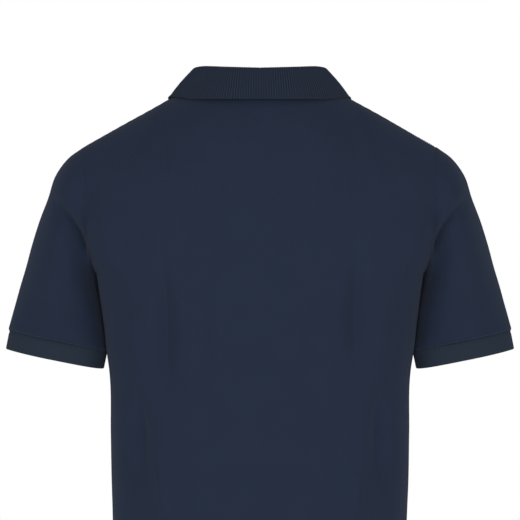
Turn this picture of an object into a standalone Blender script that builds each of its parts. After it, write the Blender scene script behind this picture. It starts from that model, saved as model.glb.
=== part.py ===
"""Polo shirt with short sleeves, filled out as when worn, with no wearer.

Metres, +Z up. The origin is the middle of the neck at the height of the two points where
neckline and shoulder seam meet. The front with its placket faces -Y and the back +Y, so the
wearer's left side is at +X. Every piece of cloth is a closed wall: its outer points are
worked out from the sizes below, and its inner points lie one thickness under them.
"""
import math

import bmesh
import bpy
import numpy as np
from mathutils import Matrix, Vector
from mathutils.bvhtree import BVHTree

# ---- driving dimensions ---------------------------------------------------------------------
CLOTH = 0.0015           # thickness of the pique panels
RIB = 0.0018             # thickness of the rib-knit collar and cuffs
SEAM_GAP = 0.0003        # left between two pieces that are sewn together
HEM_Z = -0.700
ARMPIT_Z = -0.232
SIDE_SEAM_Y = -0.002

# Horizontal sections of the torso below the armpits: rounded boxes that are half_width wide
# to each side of x = 0 at y = middle, and reach y = back and y = front on the centre line.
# A higher power has fuller corners.
TORSO_COLUMNS = "z half_width back front middle power"
TORSO = [
    (-0.700, 0.1845, 0.1150, -0.1230, 0.004, 2.50),
    (-0.534, 0.1832, 0.1150, -0.1240, 0.004, 2.50),
    (-0.490, 0.1848, 0.1155, -0.1245, 0.005, 2.48),
    (-0.430, 0.1860, 0.1160, -0.1250, 0.006, 2.45),
    (-0.350, 0.1878, 0.1170, -0.1270, 0.008, 2.40),
    (-0.326, 0.1915, 0.1175, -0.1275, 0.008, 2.38),
    (-0.299, 0.1942, 0.1180, -0.1280, 0.009, 2.36),
    (-0.265, 0.1988, 0.1190, -0.1280, 0.010, 2.34),
    (-0.232, 0.2035, 0.1195, -0.1270, 0.012, 2.30),
]

# Neckline: half an ellipse behind the neck points (side 1, the back) and half in front of
# them (side -1, the front), that drops to its middle. The cloth beside it falls away sideways
# by the slope given for its middle, and by the shoulder's slope at the neck points.
NECK_HALF_WIDTH = 0.088
NECKLINE = {1: {"depth": 0.060, "drop": 0.014, "slope": 0.70},
            -1: {"depth": 0.066, "drop": 0.078, "slope": 0.00}}
SHOULDER_TIP = (0.2195, 0.004, -0.074)
NECK_SHARE = 0.40        # part of a panel's half width at the armpits that runs to the neckline

# A panel's vertical lines arrive at its top edge straight up at the middle and square to the
# shoulder seam, and in this direction, seen from above, at the neck point.
ARRIVAL_AT_NECK_POINT = (-0.50, 0.80)
PULL_LOW, PULL_HIGH = 0.36, 0.31      # handle lengths of those lines, as shares of their reach
NUDGE = 0.002            # step to each side when a slope is measured

# Armhole: a loop through four points, with the lowest one on the side seam.
ARMHOLE_BACK = (0.215, 0.054, -0.150)
ARMHOLE_FRONT = (0.203, -0.048, -0.148)
ARMHOLE_SKEW = (-0.0029, 0.0, 0.0)

# The left sleeve's top, back, under and front lines, between the armhole and the cuff seam.
SLEEVE_TOP = [(0.240, 0.003, -0.088), (0.256, 0.001, -0.109), (0.2645, -0.002, -0.134),
              (0.2770, -0.008, -0.168), (0.2950, -0.018, -0.228), (0.3110, -0.028, -0.2785)]
SLEEVE_BACK = [(0.228, 0.057, -0.165), (0.238, 0.052, -0.190), (0.247, 0.038, -0.240)]
SLEEVE_UNDER = [(0.2032, -0.007, -0.2365), (0.2018, -0.017, -0.245), (0.1995, -0.026, -0.256),
                (0.1965, -0.033, -0.273), (0.1938, -0.035, -0.299)]
SLEEVE_FRONT = [(0.222, -0.062, -0.165), (0.236, -0.070, -0.190), (0.247, -0.074, -0.240)]
SLEEVE_FULLNESS = 0.0018  # how far the sleeve stands out over the cuff seam

# Cuff: a flat oval band whose axis leans outward.
CUFF_HEIGHT = 0.024
CUFF_CENTRE = (0.2582, -0.030, -0.3402)
CUFF_AXIS = (0.19, 0.0, -0.98)
CUFF_HALF_WIDTH = 0.0638
CUFF_HALF_DEPTH = 0.043
CUFF_GATHER = 0.0008     # how far the cuff's own edge is drawn in at the seam

# Collar, from the middle of the back (turn 0) to the middle of the front (turn 180): the
# crest that it is folded over, and the lower edge of the fall that hangs from there.
COLLAR_COLUMNS = "turn crest_x crest_y crest_z edge_x edge_y edge_z"
COLLAR = [
    (0.0, 0.0000, 0.0640, 0.0205, 0.0000, 0.0720, -0.0194),
    (30.0, 0.0425, 0.0560, 0.0222, 0.0500, 0.0650, -0.0190),
    (60.0, 0.0730, 0.0330, 0.0243, 0.0935, 0.0375, -0.0165),
    (90.0, 0.0832, 0.0000, 0.0240, 0.1140, 0.0000, -0.0125),
    (105.0, 0.0805, -0.0170, 0.0180, 0.1130, -0.0260, -0.0160),
    (120.0, 0.0740, -0.0330, 0.0050, 0.1040, -0.0505, -0.0340),
    (150.0, 0.0440, -0.0560, -0.0370, 0.0790, -0.0740, -0.0780),
    (178.0, 0.0032, -0.0640, -0.0690, 0.0520, -0.0930, -0.1170),
]
COLLAR_ROLL = 0.0015     # how far the fall bulges between crest and edge
COLLAR_FOLD = 0.0007     # radius inside the fold
COLLAR_LIFT = 0.0011     # least distance from the fall's underside to the panels

# Placket: a slit down the front, filled by one band and covered by a wider one.
SLIT_HALF_WIDTH = 0.015
PLACKET_HALF_WIDTH = 0.016
PLACKET_BELOW_SLIT = 0.006
BUTTON_HEIGHTS = (-0.0930, -0.1500, -0.2070)
BUTTON_RADIUS = 0.00575
BUTTON_THICKNESS = 0.0026
BUTTON_RIM = 0.0007      # width of the rim's roundings
BUTTON_DISH = 0.0009     # depth of the dish inside the rim
BUTTON_HOLE_RADIUS = 0.0009
BUTTON_HOLE_SPACING = 0.0013

# Soft folds, given by the height of their ends, how wide and how deep they are; a depth
# under zero is a trough. Folds of the back are on both sides.
# Columns: x, z_low, z_high, width, depth.
FOLDS = {1: [(0.112, -0.378, -0.203, 0.017, -0.0045),
             (0.146, -0.500, -0.362, 0.018, -0.0045),
             (0.112, -0.560, -0.455, 0.019, 0.0035),
             (-0.112, -0.378, -0.203, 0.017, -0.0045),
             (-0.146, -0.500, -0.362, 0.018, -0.0045),
             (-0.112, -0.560, -0.455, 0.019, 0.0035)],
         -1: [(0.118, -0.400, -0.215, 0.019, -0.0050),
              (0.150, -0.540, -0.390, 0.018, -0.0040),
              (0.070, -0.690, -0.500, 0.022, 0.0035),
              (-0.108, -0.375, -0.222, 0.018, -0.0045),
              (-0.147, -0.505, -0.350, 0.017, -0.0050),
              (-0.082, -0.640, -0.455, 0.021, 0.0030)]}

# Drag folds of the sleeve, at the given turn round it (0 top, 90 back) and share of its
# length. Columns: turn, length, turn_reach, length_reach, depth.
DRAGS = [(38.0, 0.36, 22.0, 0.10, -0.0035),
         (70.0, 0.50, 24.0, 0.12, 0.0020),
         (300.0, 0.40, 22.0, 0.11, -0.0035),
         (255.0, 0.62, 26.0, 0.12, -0.0030)]

# ---- mesh density ---------------------------------------------------------------------------
SECTION_STEPS = 240      # points a section is measured with
ROWS_BELOW = 13          # rows of a panel from hem to armpit
ROWS_ABOVE = 12          # and from there to its top edge, so the armhole has twice as many
NECK_SPLITS = 5          # columns of half a panel that run to the neckline
SHOULDER_SPLITS = 6      # and to the shoulder seam
SLEEVE_RINGS = 12
SLEEVE_TUCK = 0.98       # share of the sleeve's length where it turns in to the cuff seam
CUFF_RINGS = 3
STAND_ROWS = 3           # rows of the collar up to its fold
ROLL_ROWS = 4            # round the fold
FALL_ROWS = 6            # and down the fall
LIFT_PASSES = 3
BUTTON_STEPS = 24
HOLE_STEPS = 8
SMOOTH_CLOTH = 40        # edges under this angle, in degrees, are shaded smooth
SMOOTH_BUTTON = 30

NAVY = (0.021, 0.030, 0.054)
NAVY_RIB = (0.024, 0.034, 0.053)
BUTTON_NAVY = (0.020, 0.028, 0.046)


def clear_scene():
    for old in list(bpy.data.objects):
        bpy.data.objects.remove(old, do_unlink=True)


def material(name, colour, roughness):
    made = bpy.data.materials.new(name)
    made.use_nodes = True
    shader = made.node_tree.nodes["Principled BSDF"]
    shader.inputs["Base Color"].default_value = (*colour, 1.0)
    shader.inputs["Roughness"].default_value = roughness
    shader.inputs["Metallic"].default_value = 0.0
    return made


# ---- curves ---------------------------------------------------------------------------------
def unit(vectors):
    return vectors / np.linalg.norm(vectors, axis=-1, keepdims=True)


def smooth(at, places, values):
    """Read a smooth curve through a table: cubic pieces whose slopes match at the rows."""
    slopes = np.gradient(values, places, axis=0)
    left = np.clip(np.searchsorted(places, at) - 1, 0, len(places) - 2)
    step = places[left + 1] - places[left]
    t = np.clip((at - places[left]) / step, 0.0, 1.0)
    if values.ndim > 1:
        step, t = step[..., None], t[..., None]
    return ((1 + 2 * t) * (1 - t) ** 2 * values[left] + t * (1 - t) ** 2 * step * slopes[left]
            + t * t * (3 - 2 * t) * values[left + 1] - t * t * (1 - t) * step * slopes[left + 1])


def read_table(columns, rows, at):
    """The columns of a table, read at some values of its first column."""
    names = columns.split()
    rows = np.array(rows, float)
    values = smooth(np.asarray(at, float), rows[:, 0], rows[:, 1:])
    return {name: values[..., i] for i, name in enumerate(names[1:])}


def line_through(points, at):
    """Points at the given shares of the length of a smooth line."""
    points = np.array(points, float)
    length = np.concatenate([[0.0], np.cumsum(np.linalg.norm(np.diff(points, axis=0), axis=1))])
    return smooth(np.asarray(at, float), length / length[-1], points)


def bump(distance):
    """1 at 0 and down to 0 at 1 either way, with no kink."""
    return np.cos(np.clip(np.abs(distance), 0.0, 1.0) * np.pi / 2) ** 2


# ---- torso ----------------------------------------------------------------------------------
def section(z, side, shares):
    """Points of the torso's section at height z, from x = 0 (share 0) to the side seam (1)."""
    row = read_table(TORSO_COLUMNS, TORSO, z)
    angle = np.linspace(0.0, np.pi, SECTION_STEPS + 1)
    across, along = np.sin(angle).clip(0.0), np.cos(angle)
    reach = np.where(along > 0, row["back"] - row["middle"], row["middle"] - row["front"])
    x = row["half_width"] * across ** (2 / row["power"])
    y = row["middle"] + reach * np.sign(along) * np.abs(along) ** (2 / row["power"])
    length = np.concatenate([[0.0], np.cumsum(np.hypot(np.diff(x), np.diff(y)))])
    seam = np.interp(-SIDE_SEAM_Y, -y, length)
    wanted = shares * seam if side > 0 else length[-1] - shares * (length[-1] - seam)
    return np.stack([np.interp(wanted, length, x), np.interp(wanted, length, y),
                     np.full_like(wanted, z)], axis=-1)


def neckline(turns, side):
    """The neckline, from x = 0 (turn 0) to the neck point (turn 1)."""
    size = NECKLINE[side]
    angle = turns * np.pi / 2
    return np.stack([NECK_HALF_WIDTH * np.sin(angle), side * size["depth"] * np.cos(angle),
                     -size["drop"] * np.cos(angle) ** 2], axis=-1)


def slit_shares(side):
    """Where the slit's edge lies at the armpits and on the neckline."""
    ring = section(ARMPIT_Z, side, np.linspace(0.0, 1.0, SECTION_STEPS))
    half = np.linalg.norm(np.diff(ring, axis=0), axis=1).sum()
    slit = SLIT_HALF_WIDTH + SEAM_GAP / 2
    return slit / half, math.asin(slit / NECK_HALF_WIDTH) / (np.pi / 2)


def top_edge(shares, side):
    """Top edge of a half panel, and the direction in which its lines arrive there."""
    low, high = slit_shares(side)
    turns = np.interp(shares, [0.0, low, NECK_SHARE, 1.0], [0.0, high, 1.0, 2.0])
    neck_turn, shoulder_turn = turns.clip(0.0, 1.0), turns.clip(1.0, 2.0) - 1.0
    neck_point = np.array([NECK_HALF_WIDTH, 0.0, 0.0])
    seam = np.array(SHOULDER_TIP) - neck_point
    edge = np.where(turns[:, None] < 1.0, neckline(neck_turn, side),
                    neck_point + shoulder_turn[:, None] * seam)
    size = NECKLINE[side]
    sin, cos = np.sin(neck_turn * np.pi / 2), np.cos(neck_turn * np.pi / 2)
    slope = size["slope"] + (-seam[2] / seam[0] - size["slope"]) * sin ** 2
    rise = (2 * size["drop"] + slope * NECK_HALF_WIDTH) * cos / size["depth"]
    turned_in = neck_turn ** 2 * bump(2 * shoulder_turn)
    inward = ARRIVAL_AT_NECK_POINT[0] * turned_in
    forward = 1.0 + (ARRIVAL_AT_NECK_POINT[1] - 1.0) * turned_in
    return edge, unit(np.stack([inward, -side * forward, rise * forward - slope * sin * inward],
                               axis=-1))


def loop(top, back, under, front, skew, turn):
    """A closed loop through four points, at the given turns in degrees (0 top, 90 back)."""
    top, back, under, front, skew = (np.asarray(p, float) for p in (top, back, under, front,
                                                                    skew))
    angle = np.radians(turn)[:, None]
    middle = (top + under + back + front) / 4
    second = (top + under - back - front) / 4
    return (middle + (top - under) / 2 * np.cos(angle) + (back - front) / 2 * np.sin(angle)
            + second * np.cos(2 * angle) + skew * np.sin(2 * angle))


def armhole(turn):
    under = section(ARMPIT_Z, 1, np.array([1.0]))[0]
    return loop(SHOULDER_TIP, ARMHOLE_BACK, under, ARMHOLE_FRONT, ARMHOLE_SKEW, turn)


def folds(points, side):
    """How far the soft folds move the points of a panel out."""
    moved = np.zeros(points.shape[:-1])
    for x, z_low, z_high, width, depth in FOLDS[side]:
        along = (points[..., 2] - (z_low + z_high) / 2) / ((z_high - z_low) / 2)
        moved += depth * bump((points[..., 0] - x) / (2 * width)) * bump(along)
    return moved


def panel_surface(side, shares, heights, rises):
    """Outer points of a panel, as rows from the hem up.

    shares: columns, -1 at the right side seam and 1 at the left one. heights: the rows below
    the armpits. rises: the rows above them, from 0 at the armpits to 1 at the top edge.
    """
    half = np.abs(shares)
    below = np.stack([section(z, side, half) for z in heights])
    start = section(ARMPIT_Z, side, np.append(half, 1.0))
    rising = unit(start - section(ARMPIT_Z - NUDGE, side, np.append(half, 1.0)))
    edge, lean = top_edge(np.append(half, 1.0), side)
    reach = np.linalg.norm(edge - start, axis=1, keepdims=True)
    low_handle = start + PULL_LOW * reach * rising
    high_handle = edge - PULL_HIGH * reach * lean
    t = rises[:, None, None]
    lines = ((1 - t) ** 3 * start + 3 * t * (1 - t) ** 2 * low_handle
             + 3 * t * t * (1 - t) * high_handle + t ** 3 * edge)
    turn = 180.0 * (1.0 - rises)
    hole = armhole(turn if side > 0 else 360.0 - turn)
    nearness = ((half - NECK_SHARE) / (1.0 - NECK_SHARE)).clip(0.0) ** 2
    above = lines[:, :-1] + nearness[None, :, None] * (hole - lines[:, -1])[:, None]
    grid = np.concatenate([below, above[1:]])
    grid[..., 0] *= np.where(shares < 0, -1.0, 1.0)
    grid[..., 1] += side * folds(grid, side)
    return grid


def panel_normals(side, shares, heights, rises):
    """The panel's outward normals at the same rows and columns."""
    left, right = (panel_surface(side, (shares + move).clip(-1.0, 1.0), heights, rises)
                   for move in (-NUDGE, NUDGE))
    low, high = (panel_surface(side, shares, (heights + move).clip(HEM_Z, ARMPIT_Z),
                               (rises + move).clip(0.0, 1.0)) for move in (-NUDGE, NUDGE))
    return -side * unit(np.cross(right - left, high - low))


def tube_normals(grid):
    """Outward normals of a tube whose columns run all round it, and its rows down it."""
    wrapped = np.concatenate([grid[:, -1:], grid, grid[:, :1]], axis=1)
    return unit(np.cross(np.gradient(grid, axis=0), wrapped[:, 2:] - wrapped[:, :-2]))


# ---- walls ----------------------------------------------------------------------------------
def grid_faces(rows, columns, closed=False, skip=()):
    """Triangles of a grid. An open grid's diagonals are alike on both sides of its middle."""
    faces = []
    for r in range(rows - 1):
        for c in range(columns if closed else columns - 1):
            if (r, c) in skip:
                continue
            low, high = r * columns, (r + 1) * columns
            d = (c + 1) % columns
            a, b, e, f = low + c, low + d, high + d, high + c
            if closed or c >= columns // 2:
                faces += [(a, b, e), (a, e, f)]
            else:
                faces += [(a, b, f), (b, e, f)]
    return faces


def wall(name, outer, inner, faces, look):
    """A closed wall between two like grids of points, closed round the edge of its faces."""
    count = outer.shape[0] * outer.shape[1]
    points = np.concatenate([outer.reshape(-1, 3), inner.reshape(-1, 3)])
    all_faces = faces + [tuple(i + count for i in reversed(f)) for f in faces]
    sides = {(f[i], f[(i + 1) % 3]) for f in faces for i in range(3)}
    all_faces += [(b, a, a + count, b + count) for a, b in sorted(sides) if (b, a) not in sides]
    work = bmesh.new()
    made = [work.verts.new(p) for p in points]
    for face in all_faces:
        work.faces.new([made[i] for i in face])
    bmesh.ops.delete(work, geom=[v for v in work.verts if not v.link_faces], context="VERTS")
    bmesh.ops.recalc_face_normals(work, faces=work.faces)
    mesh = bpy.data.meshes.new(name)
    work.to_mesh(mesh)
    work.free()
    mesh.shade_smooth()
    mesh.set_sharp_from_angle(angle=math.radians(SMOOTH_CLOTH))
    return place(name, mesh, look)


def place(name, mesh, look):
    made = bpy.data.objects.new(name, mesh)
    made.data.materials.append(look)
    PIECES.objects.link(made)
    return made


def trim(grid, normals, side):
    """Draw one side of a grid back by half a seam gap, square to the seam."""
    view = {"left": (grid[:, 0], normals[:, 0], grid[:, 1]),
            "right": (grid[:, -1], normals[:, -1], grid[:, -2]),
            "top": (grid[-1], normals[-1], grid[-2]),
            "bottom": (grid[0], normals[0], grid[1])}[side]
    edge, normal, inside = view
    square = unit(np.cross(normal, np.gradient(edge, axis=0)))
    square *= np.sign(np.sum(square * (inside - edge), axis=1, keepdims=True))
    edge += SEAM_GAP / 2 * square


# ---- pieces ---------------------------------------------------------------------------------
def shares_of(side):
    """Columns of a panel; the front has one along each edge of the slit."""
    first = slit_shares(side)[0] if side < 0 else 0.0
    half = np.concatenate([np.linspace(first, NECK_SHARE, NECK_SPLITS + 1),
                           np.linspace(NECK_SHARE, 1.0, SHOULDER_SPLITS + 1)[1:]])
    if side < 0:
        half = np.concatenate([[0.0], half])
    return np.concatenate([-half[:0:-1], half])


def panels():
    """Outer points and normals of back and front, alike along the seams they share."""
    heights = np.linspace(HEM_Z, ARMPIT_Z, ROWS_BELOW + 1)
    rises = np.linspace(0.0, 1.0, ROWS_ABOVE + 1)
    grids = {side: panel_surface(side, shares_of(side), heights, rises) for side in (1, -1)}
    normals = {side: panel_normals(side, shares_of(side), heights, rises) for side in (1, -1)}
    for at in (0, -1):
        shared = unit(normals[1][:ROWS_BELOW + 1, at] + normals[-1][:ROWS_BELOW + 1, at])
        normals[1][:ROWS_BELOW + 1, at] = normals[-1][:ROWS_BELOW + 1, at] = shared
    for columns in (slice(0, SHOULDER_SPLITS + 1), slice(-SHOULDER_SPLITS - 1, None)):
        shared = unit(normals[1][-1, columns] + normals[-1][-1, columns])
        normals[1][-1, columns] = normals[-1][-1, columns] = shared
    return grids, normals


def cuff_ring(turn, share):
    """Points and normals round the left cuff, at a share of its height from the seam."""
    axis, back = unit(np.array(CUFF_AXIS)), np.array([0.0, 1.0, 0.0])
    outward = np.cross(axis, back)
    cos, sin = np.cos(np.radians(turn))[:, None], np.sin(np.radians(turn))[:, None]
    centre = np.array(CUFF_CENTRE) - (1.0 - share) * CUFF_HEIGHT * axis
    return (centre + CUFF_HALF_WIDTH * cos * outward + CUFF_HALF_DEPTH * sin * back,
            unit(cos / CUFF_HALF_WIDTH * outward + sin / CUFF_HALF_DEPTH * back))


def sleeve_surface():
    """Outer points of the left sleeve, one ring a row from the armhole to the cuff seam."""
    turn = np.linspace(0.0, 360.0, 2 * ROWS_ABOVE, endpoint=False)
    shares = np.append(np.linspace(0.0, SLEEVE_TUCK, SLEEVE_RINGS), 1.0)
    quarters = np.array([0.0, 90.0, 180.0, 270.0])
    routes = (SLEEVE_TOP, SLEEVE_BACK, SLEEVE_UNDER, SLEEVE_FRONT)
    ends, facing = cuff_ring(quarters, 0.0)
    lines = [line_through([start] + route + [end], shares) for start, route, end
             in zip(armhole(quarters), routes, ends + SLEEVE_FULLNESS * facing)]
    rings = [loop(*points, np.array(ARMHOLE_SKEW) * (1 - share) ** 2, turn)
             for share, *points in zip(shares, *lines)]
    grid = np.stack(rings)
    normals = tube_normals(grid)
    for at, length, turn_reach, length_reach, depth in DRAGS:
        off = (turn - at + 180.0) % 360.0 - 180.0
        moved = depth * bump(off / (2 * turn_reach)) * bump((shares - length)
                                                            / (2 * length_reach))[:, None]
        grid += moved[..., None] * normals
    return grid


def join_armhole(grids, normals, sleeve):
    """Where sleeve and panel run on from each other, give them the same normal, so that their
    edges face. Where they fold back on each other, at the underarm, each keeps its own, and
    the sleeve starts beside the panel's outer face. Changes the panels' normals, and returns
    the sleeve's, and how far its first ring moves."""
    sleeve_normals = tube_normals(sleeve)
    flip = np.array([-1.0, 1.0, 1.0])
    moves = np.zeros_like(sleeve[0])
    for i in range(2 * ROWS_ABOVE):
        sides = (1, -1) if i in (0, ROWS_ABOVE) else (1,) if i < ROWS_ABOVE else (-1,)
        row = -1 - (i if i <= ROWS_ABOVE else 2 * ROWS_ABOVE - i)
        panel = unit(sum(normals[side][row, -1] for side in sides))
        arriving = unit(sum(grids[side][row, -1] - grids[side][row, -2] for side in sides))
        leaving = unit(sleeve[1, i] - sleeve[0, i])
        run_on = np.clip(2.0 * np.dot(arriving, leaving), 0.0, 1.0)
        own = sleeve_normals[0, i].copy()
        sleeve_normals[0, i] = unit(own + run_on * panel)
        for side in sides:
            normals[side][row, -1] = unit(panel + run_on * own)
            normals[side][row, 0] = normals[side][row, -1] * flip
        moves[i] = SEAM_GAP * (run_on / 2 * leaving + (1.0 - run_on) * panel)
    turn = np.linspace(0.0, 360.0, 2 * ROWS_ABOVE, endpoint=False)
    sleeve_normals[-1] = cuff_ring(turn, 0.0)[1]
    return sleeve_normals, moves


def build_panels(grids, normals, look):
    for side, name in ((1, "back"), (-1, "front")):
        outer = grids[side].copy()
        for edge in ("left", "right"):
            trim(outer, normals[side], edge)
        for columns in (slice(0, SHOULDER_SPLITS + 1), slice(-SHOULDER_SPLITS - 1, None)):
            trim(outer[:, columns], normals[side][:, columns], "top")
        rows, columns = outer.shape[:2]
        middle = columns // 2
        slit = [(r, c) for r in range(ROWS_BELOW, rows - 1) for c in (middle - 1, middle)]
        faces = grid_faces(rows, columns, skip=slit if side < 0 else ())
        wall(name, outer, outer - CLOTH * normals[side], faces, look)


def build_sleeves(sleeve, sleeve_normals, moves, look):
    outer = sleeve.copy()
    outer[0] += moves
    outer[-1] -= SLEEVE_FULLNESS * sleeve_normals[-1] + SEAM_GAP / 2 * unit(np.array(CUFF_AXIS))
    inner = outer - CLOTH * sleeve_normals
    faces = grid_faces(*outer.shape[:2], closed=True)
    for name, flip in (("sleeve_left", 1.0), ("sleeve_right", -1.0)):
        mirror = np.array([flip, 1.0, 1.0])
        wall(name, outer * mirror, inner * mirror, faces, look)


def build_cuffs(look):
    turn = np.linspace(0.0, 360.0, 2 * ROWS_ABOVE, endpoint=False)
    seam = SEAM_GAP / 2 / CUFF_HEIGHT
    rings = []
    for share in np.linspace(seam, 1.0, CUFF_RINGS + 1):
        ring, normals = cuff_ring(turn, share)
        rings.append(ring - CUFF_GATHER * bump((share - seam) * CUFF_RINGS) * normals)
    outer = np.stack(rings)
    inner = outer - RIB * normals
    faces = grid_faces(*outer.shape[:2], closed=True)
    for name, flip in (("cuff_left", 1.0), ("cuff_right", -1.0)):
        mirror = np.array([flip, 1.0, 1.0])
        wall(name, outer * mirror, inner * mirror, faces, look)


def panel_facets(grids):
    """A search tree of the facets of both panels' outer faces."""
    points, faces = [], []
    for side in (1, -1):
        rows, columns = grids[side].shape[:2]
        turned_out = [tuple(i + len(points) for i in (f if side < 0 else reversed(f)))
                      for f in grid_faces(rows, columns)]
        points += [Vector(p) for p in grids[side].reshape(-1, 3)]
        faces += turned_out
    return BVHTree.FromPolygons(points, faces)


def lift(grid, facets, clearance):
    """Move a grid of points out of the panels until it clears them, as do the middles of its
    edges and cells. Its first row stays."""
    lifted = grid.copy()
    for _ in range(LIFT_PASSES):
        for down, along in ((0, 0), (0, 1), (1, 0), (1, 1)):
            for r in range(1, len(grid) - down):
                for c in range(grid.shape[1] - along):
                    corners = [(r + i, c + j) for i in {0, down} for j in {0, along}]
                    middle = Vector(sum(lifted[i] for i in corners) / len(corners))
                    spot, normal = facets.find_nearest(middle)[:2]
                    short = clearance - (middle - spot).dot(normal)
                    for i in corners if short > 0.0 else ():
                        lifted[i] += short * np.array(normal)
    return lifted


def neck_corners(grids, normals):
    """The corners of the neckline and their normals, at turns from 0 (back) to 180 (front)."""
    turns, corners, facing = [], [], []
    for side in (1, -1):
        half = shares_of(side)
        columns = np.flatnonzero((half > -NUDGE) & (half < NECK_SHARE + NUDGE))
        low, high = slit_shares(side)
        turn = 90.0 * np.interp(half[columns], [0.0, low, NECK_SHARE], [0.0, high, 1.0])
        turns.append(turn if side > 0 else 180.0 - turn)
        corners.append(grids[side][-1, columns])
        facing.append(normals[side][-1, columns])
    return (np.concatenate([values[0], values[1][-2::-1]])
            for values in (turns, corners, facing))


def interpolate(at, places, values):
    return np.stack([np.interp(at, places, column) for column in values.T], axis=-1)


def turned(vectors, axes, angles):
    """Vectors turned about unit axes."""
    cos, sin = np.cos(angles)[:, None], np.sin(angles)[:, None]
    along = np.sum(vectors * axes, axis=1, keepdims=True) * axes
    return along + cos * (vectors - along) + sin * np.cross(axes, vectors)


def build_collar(grids, normals, look):
    places, corners, facing = neck_corners(grids, normals)
    turn = np.sort(np.concatenate([places, (places[1:] + places[:-1]) / 2]))
    turn = np.append(turn[turn < COLLAR[-1][0] - 1.0], COLLAR[-1][0])
    base = interpolate(turn, places, corners)
    base_normal = unit(interpolate(turn, places, facing))
    row = read_table(COLLAR_COLUMNS, COLLAR, turn)
    crest = np.stack([row["crest_x"], row["crest_y"], row["crest_z"]], axis=-1)
    edge = np.stack([row["edge_x"], row["edge_y"], row["edge_z"]], axis=-1)
    outside = COLLAR_FOLD + RIB
    hinge = crest - [0.0, 0.0, outside]
    along = -unit(np.gradient(hinge, axis=0))
    rising = unit(hinge - base)
    rising = unit(rising - np.sum(rising * along, axis=1, keepdims=True) * along)
    falling = unit(edge - hinge)
    falling = unit(falling - np.sum(falling * along, axis=1, keepdims=True) * along)
    inward = np.cross(rising, along)
    outward = np.cross(falling, along)
    sweep = np.arctan2(np.sum(np.cross(inward, outward) * along, axis=1),
                       np.sum(inward * outward, axis=1)) % (2 * np.pi)
    leaving = unit(np.cross(np.gradient(base, axis=0), base_normal))
    fits, seat = [], base + SEAM_GAP * leaving
    for share in np.linspace(0.0, 1.0, STAND_ROWS + 1)[:-1]:
        face = unit((1 - share) * -base_normal + share * inward)
        back_face = seat + share * (hinge + COLLAR_FOLD * inward - seat)
        fits.append((back_face, back_face + RIB * face))
    for share in np.linspace(0.0, 1.0, ROLL_ROWS + 1):
        face = turned(inward, along, sweep * share)
        fits.append((hinge + COLLAR_FOLD * face, hinge + outside * face))
    share = np.linspace(0.0, 1.0, FALL_ROWS + 1)[:, None, None]
    fall = hinge + COLLAR_FOLD * outward + share * (edge - hinge - outside * outward)
    fall = fall + COLLAR_ROLL * np.sin(np.pi * share) * outward
    lifted = lift(fall, panel_facets(grids), COLLAR_LIFT)
    fits += [(row, row + RIB * outward) for row in lifted[1:]]
    under = np.stack([pair[0] for pair in fits])
    over = np.stack([pair[1] for pair in fits])
    flip = np.array([-1.0, 1.0, 1.0])
    under = np.concatenate([under[:, :0:-1] * flip, under], axis=1)
    over = np.concatenate([over[:, :0:-1] * flip, over], axis=1)
    wall("collar", over, under, grid_faces(*over.shape[:2]), look)


def band_surface():
    """The front's points from below the slit up to the neckline, and their normals: columns
    at the edges of the upper band, at those of the under band, and in the middle."""
    share = slit_shares(-1)[0] / (SLIT_HALF_WIDTH + SEAM_GAP / 2)
    half = share * np.array([SLIT_HALF_WIDTH - SEAM_GAP / 2, PLACKET_HALF_WIDTH])
    columns = np.concatenate([-half[::-1], [0.0], half])
    where = (columns, np.array([ARMPIT_Z - PLACKET_BELOW_SLIT, ARMPIT_Z]),
             np.linspace(0.0, 1.0, ROWS_ABOVE + 1))
    return panel_surface(-1, *where), panel_normals(-1, *where)


def build_placket(look):
    surface, normals = band_surface()
    outer = surface[1:, 1:-1].copy()
    outer[0, :, 2] += SEAM_GAP
    wall("placket_under", outer, outer - CLOTH * normals[1:, 1:-1], grid_faces(*outer.shape[:2]),
         look)
    inner = surface + SEAM_GAP * normals
    wall("placket_upper", inner + CLOTH * normals, inner, grid_faces(*inner.shape[:2]), look)


def drill_for(name, stance):
    """Four round cutters for the holes of a button."""
    work = bmesh.new()
    for x in (-BUTTON_HOLE_SPACING, BUTTON_HOLE_SPACING):
        for y in (-BUTTON_HOLE_SPACING, BUTTON_HOLE_SPACING):
            bmesh.ops.create_cone(work, cap_ends=True, segments=HOLE_STEPS,
                                  radius1=BUTTON_HOLE_RADIUS, radius2=BUTTON_HOLE_RADIUS,
                                  depth=4 * BUTTON_THICKNESS,
                                  matrix=Matrix.Translation((x, y, 0.0)))
    mesh = bpy.data.meshes.new(name)
    work.to_mesh(mesh)
    work.free()
    drill = bpy.data.objects.new(name, mesh)
    drill.matrix_world = stance
    drill.hide_render = True
    drill.display_type = "WIRE"
    CUTTERS.objects.link(drill)
    return drill


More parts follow.
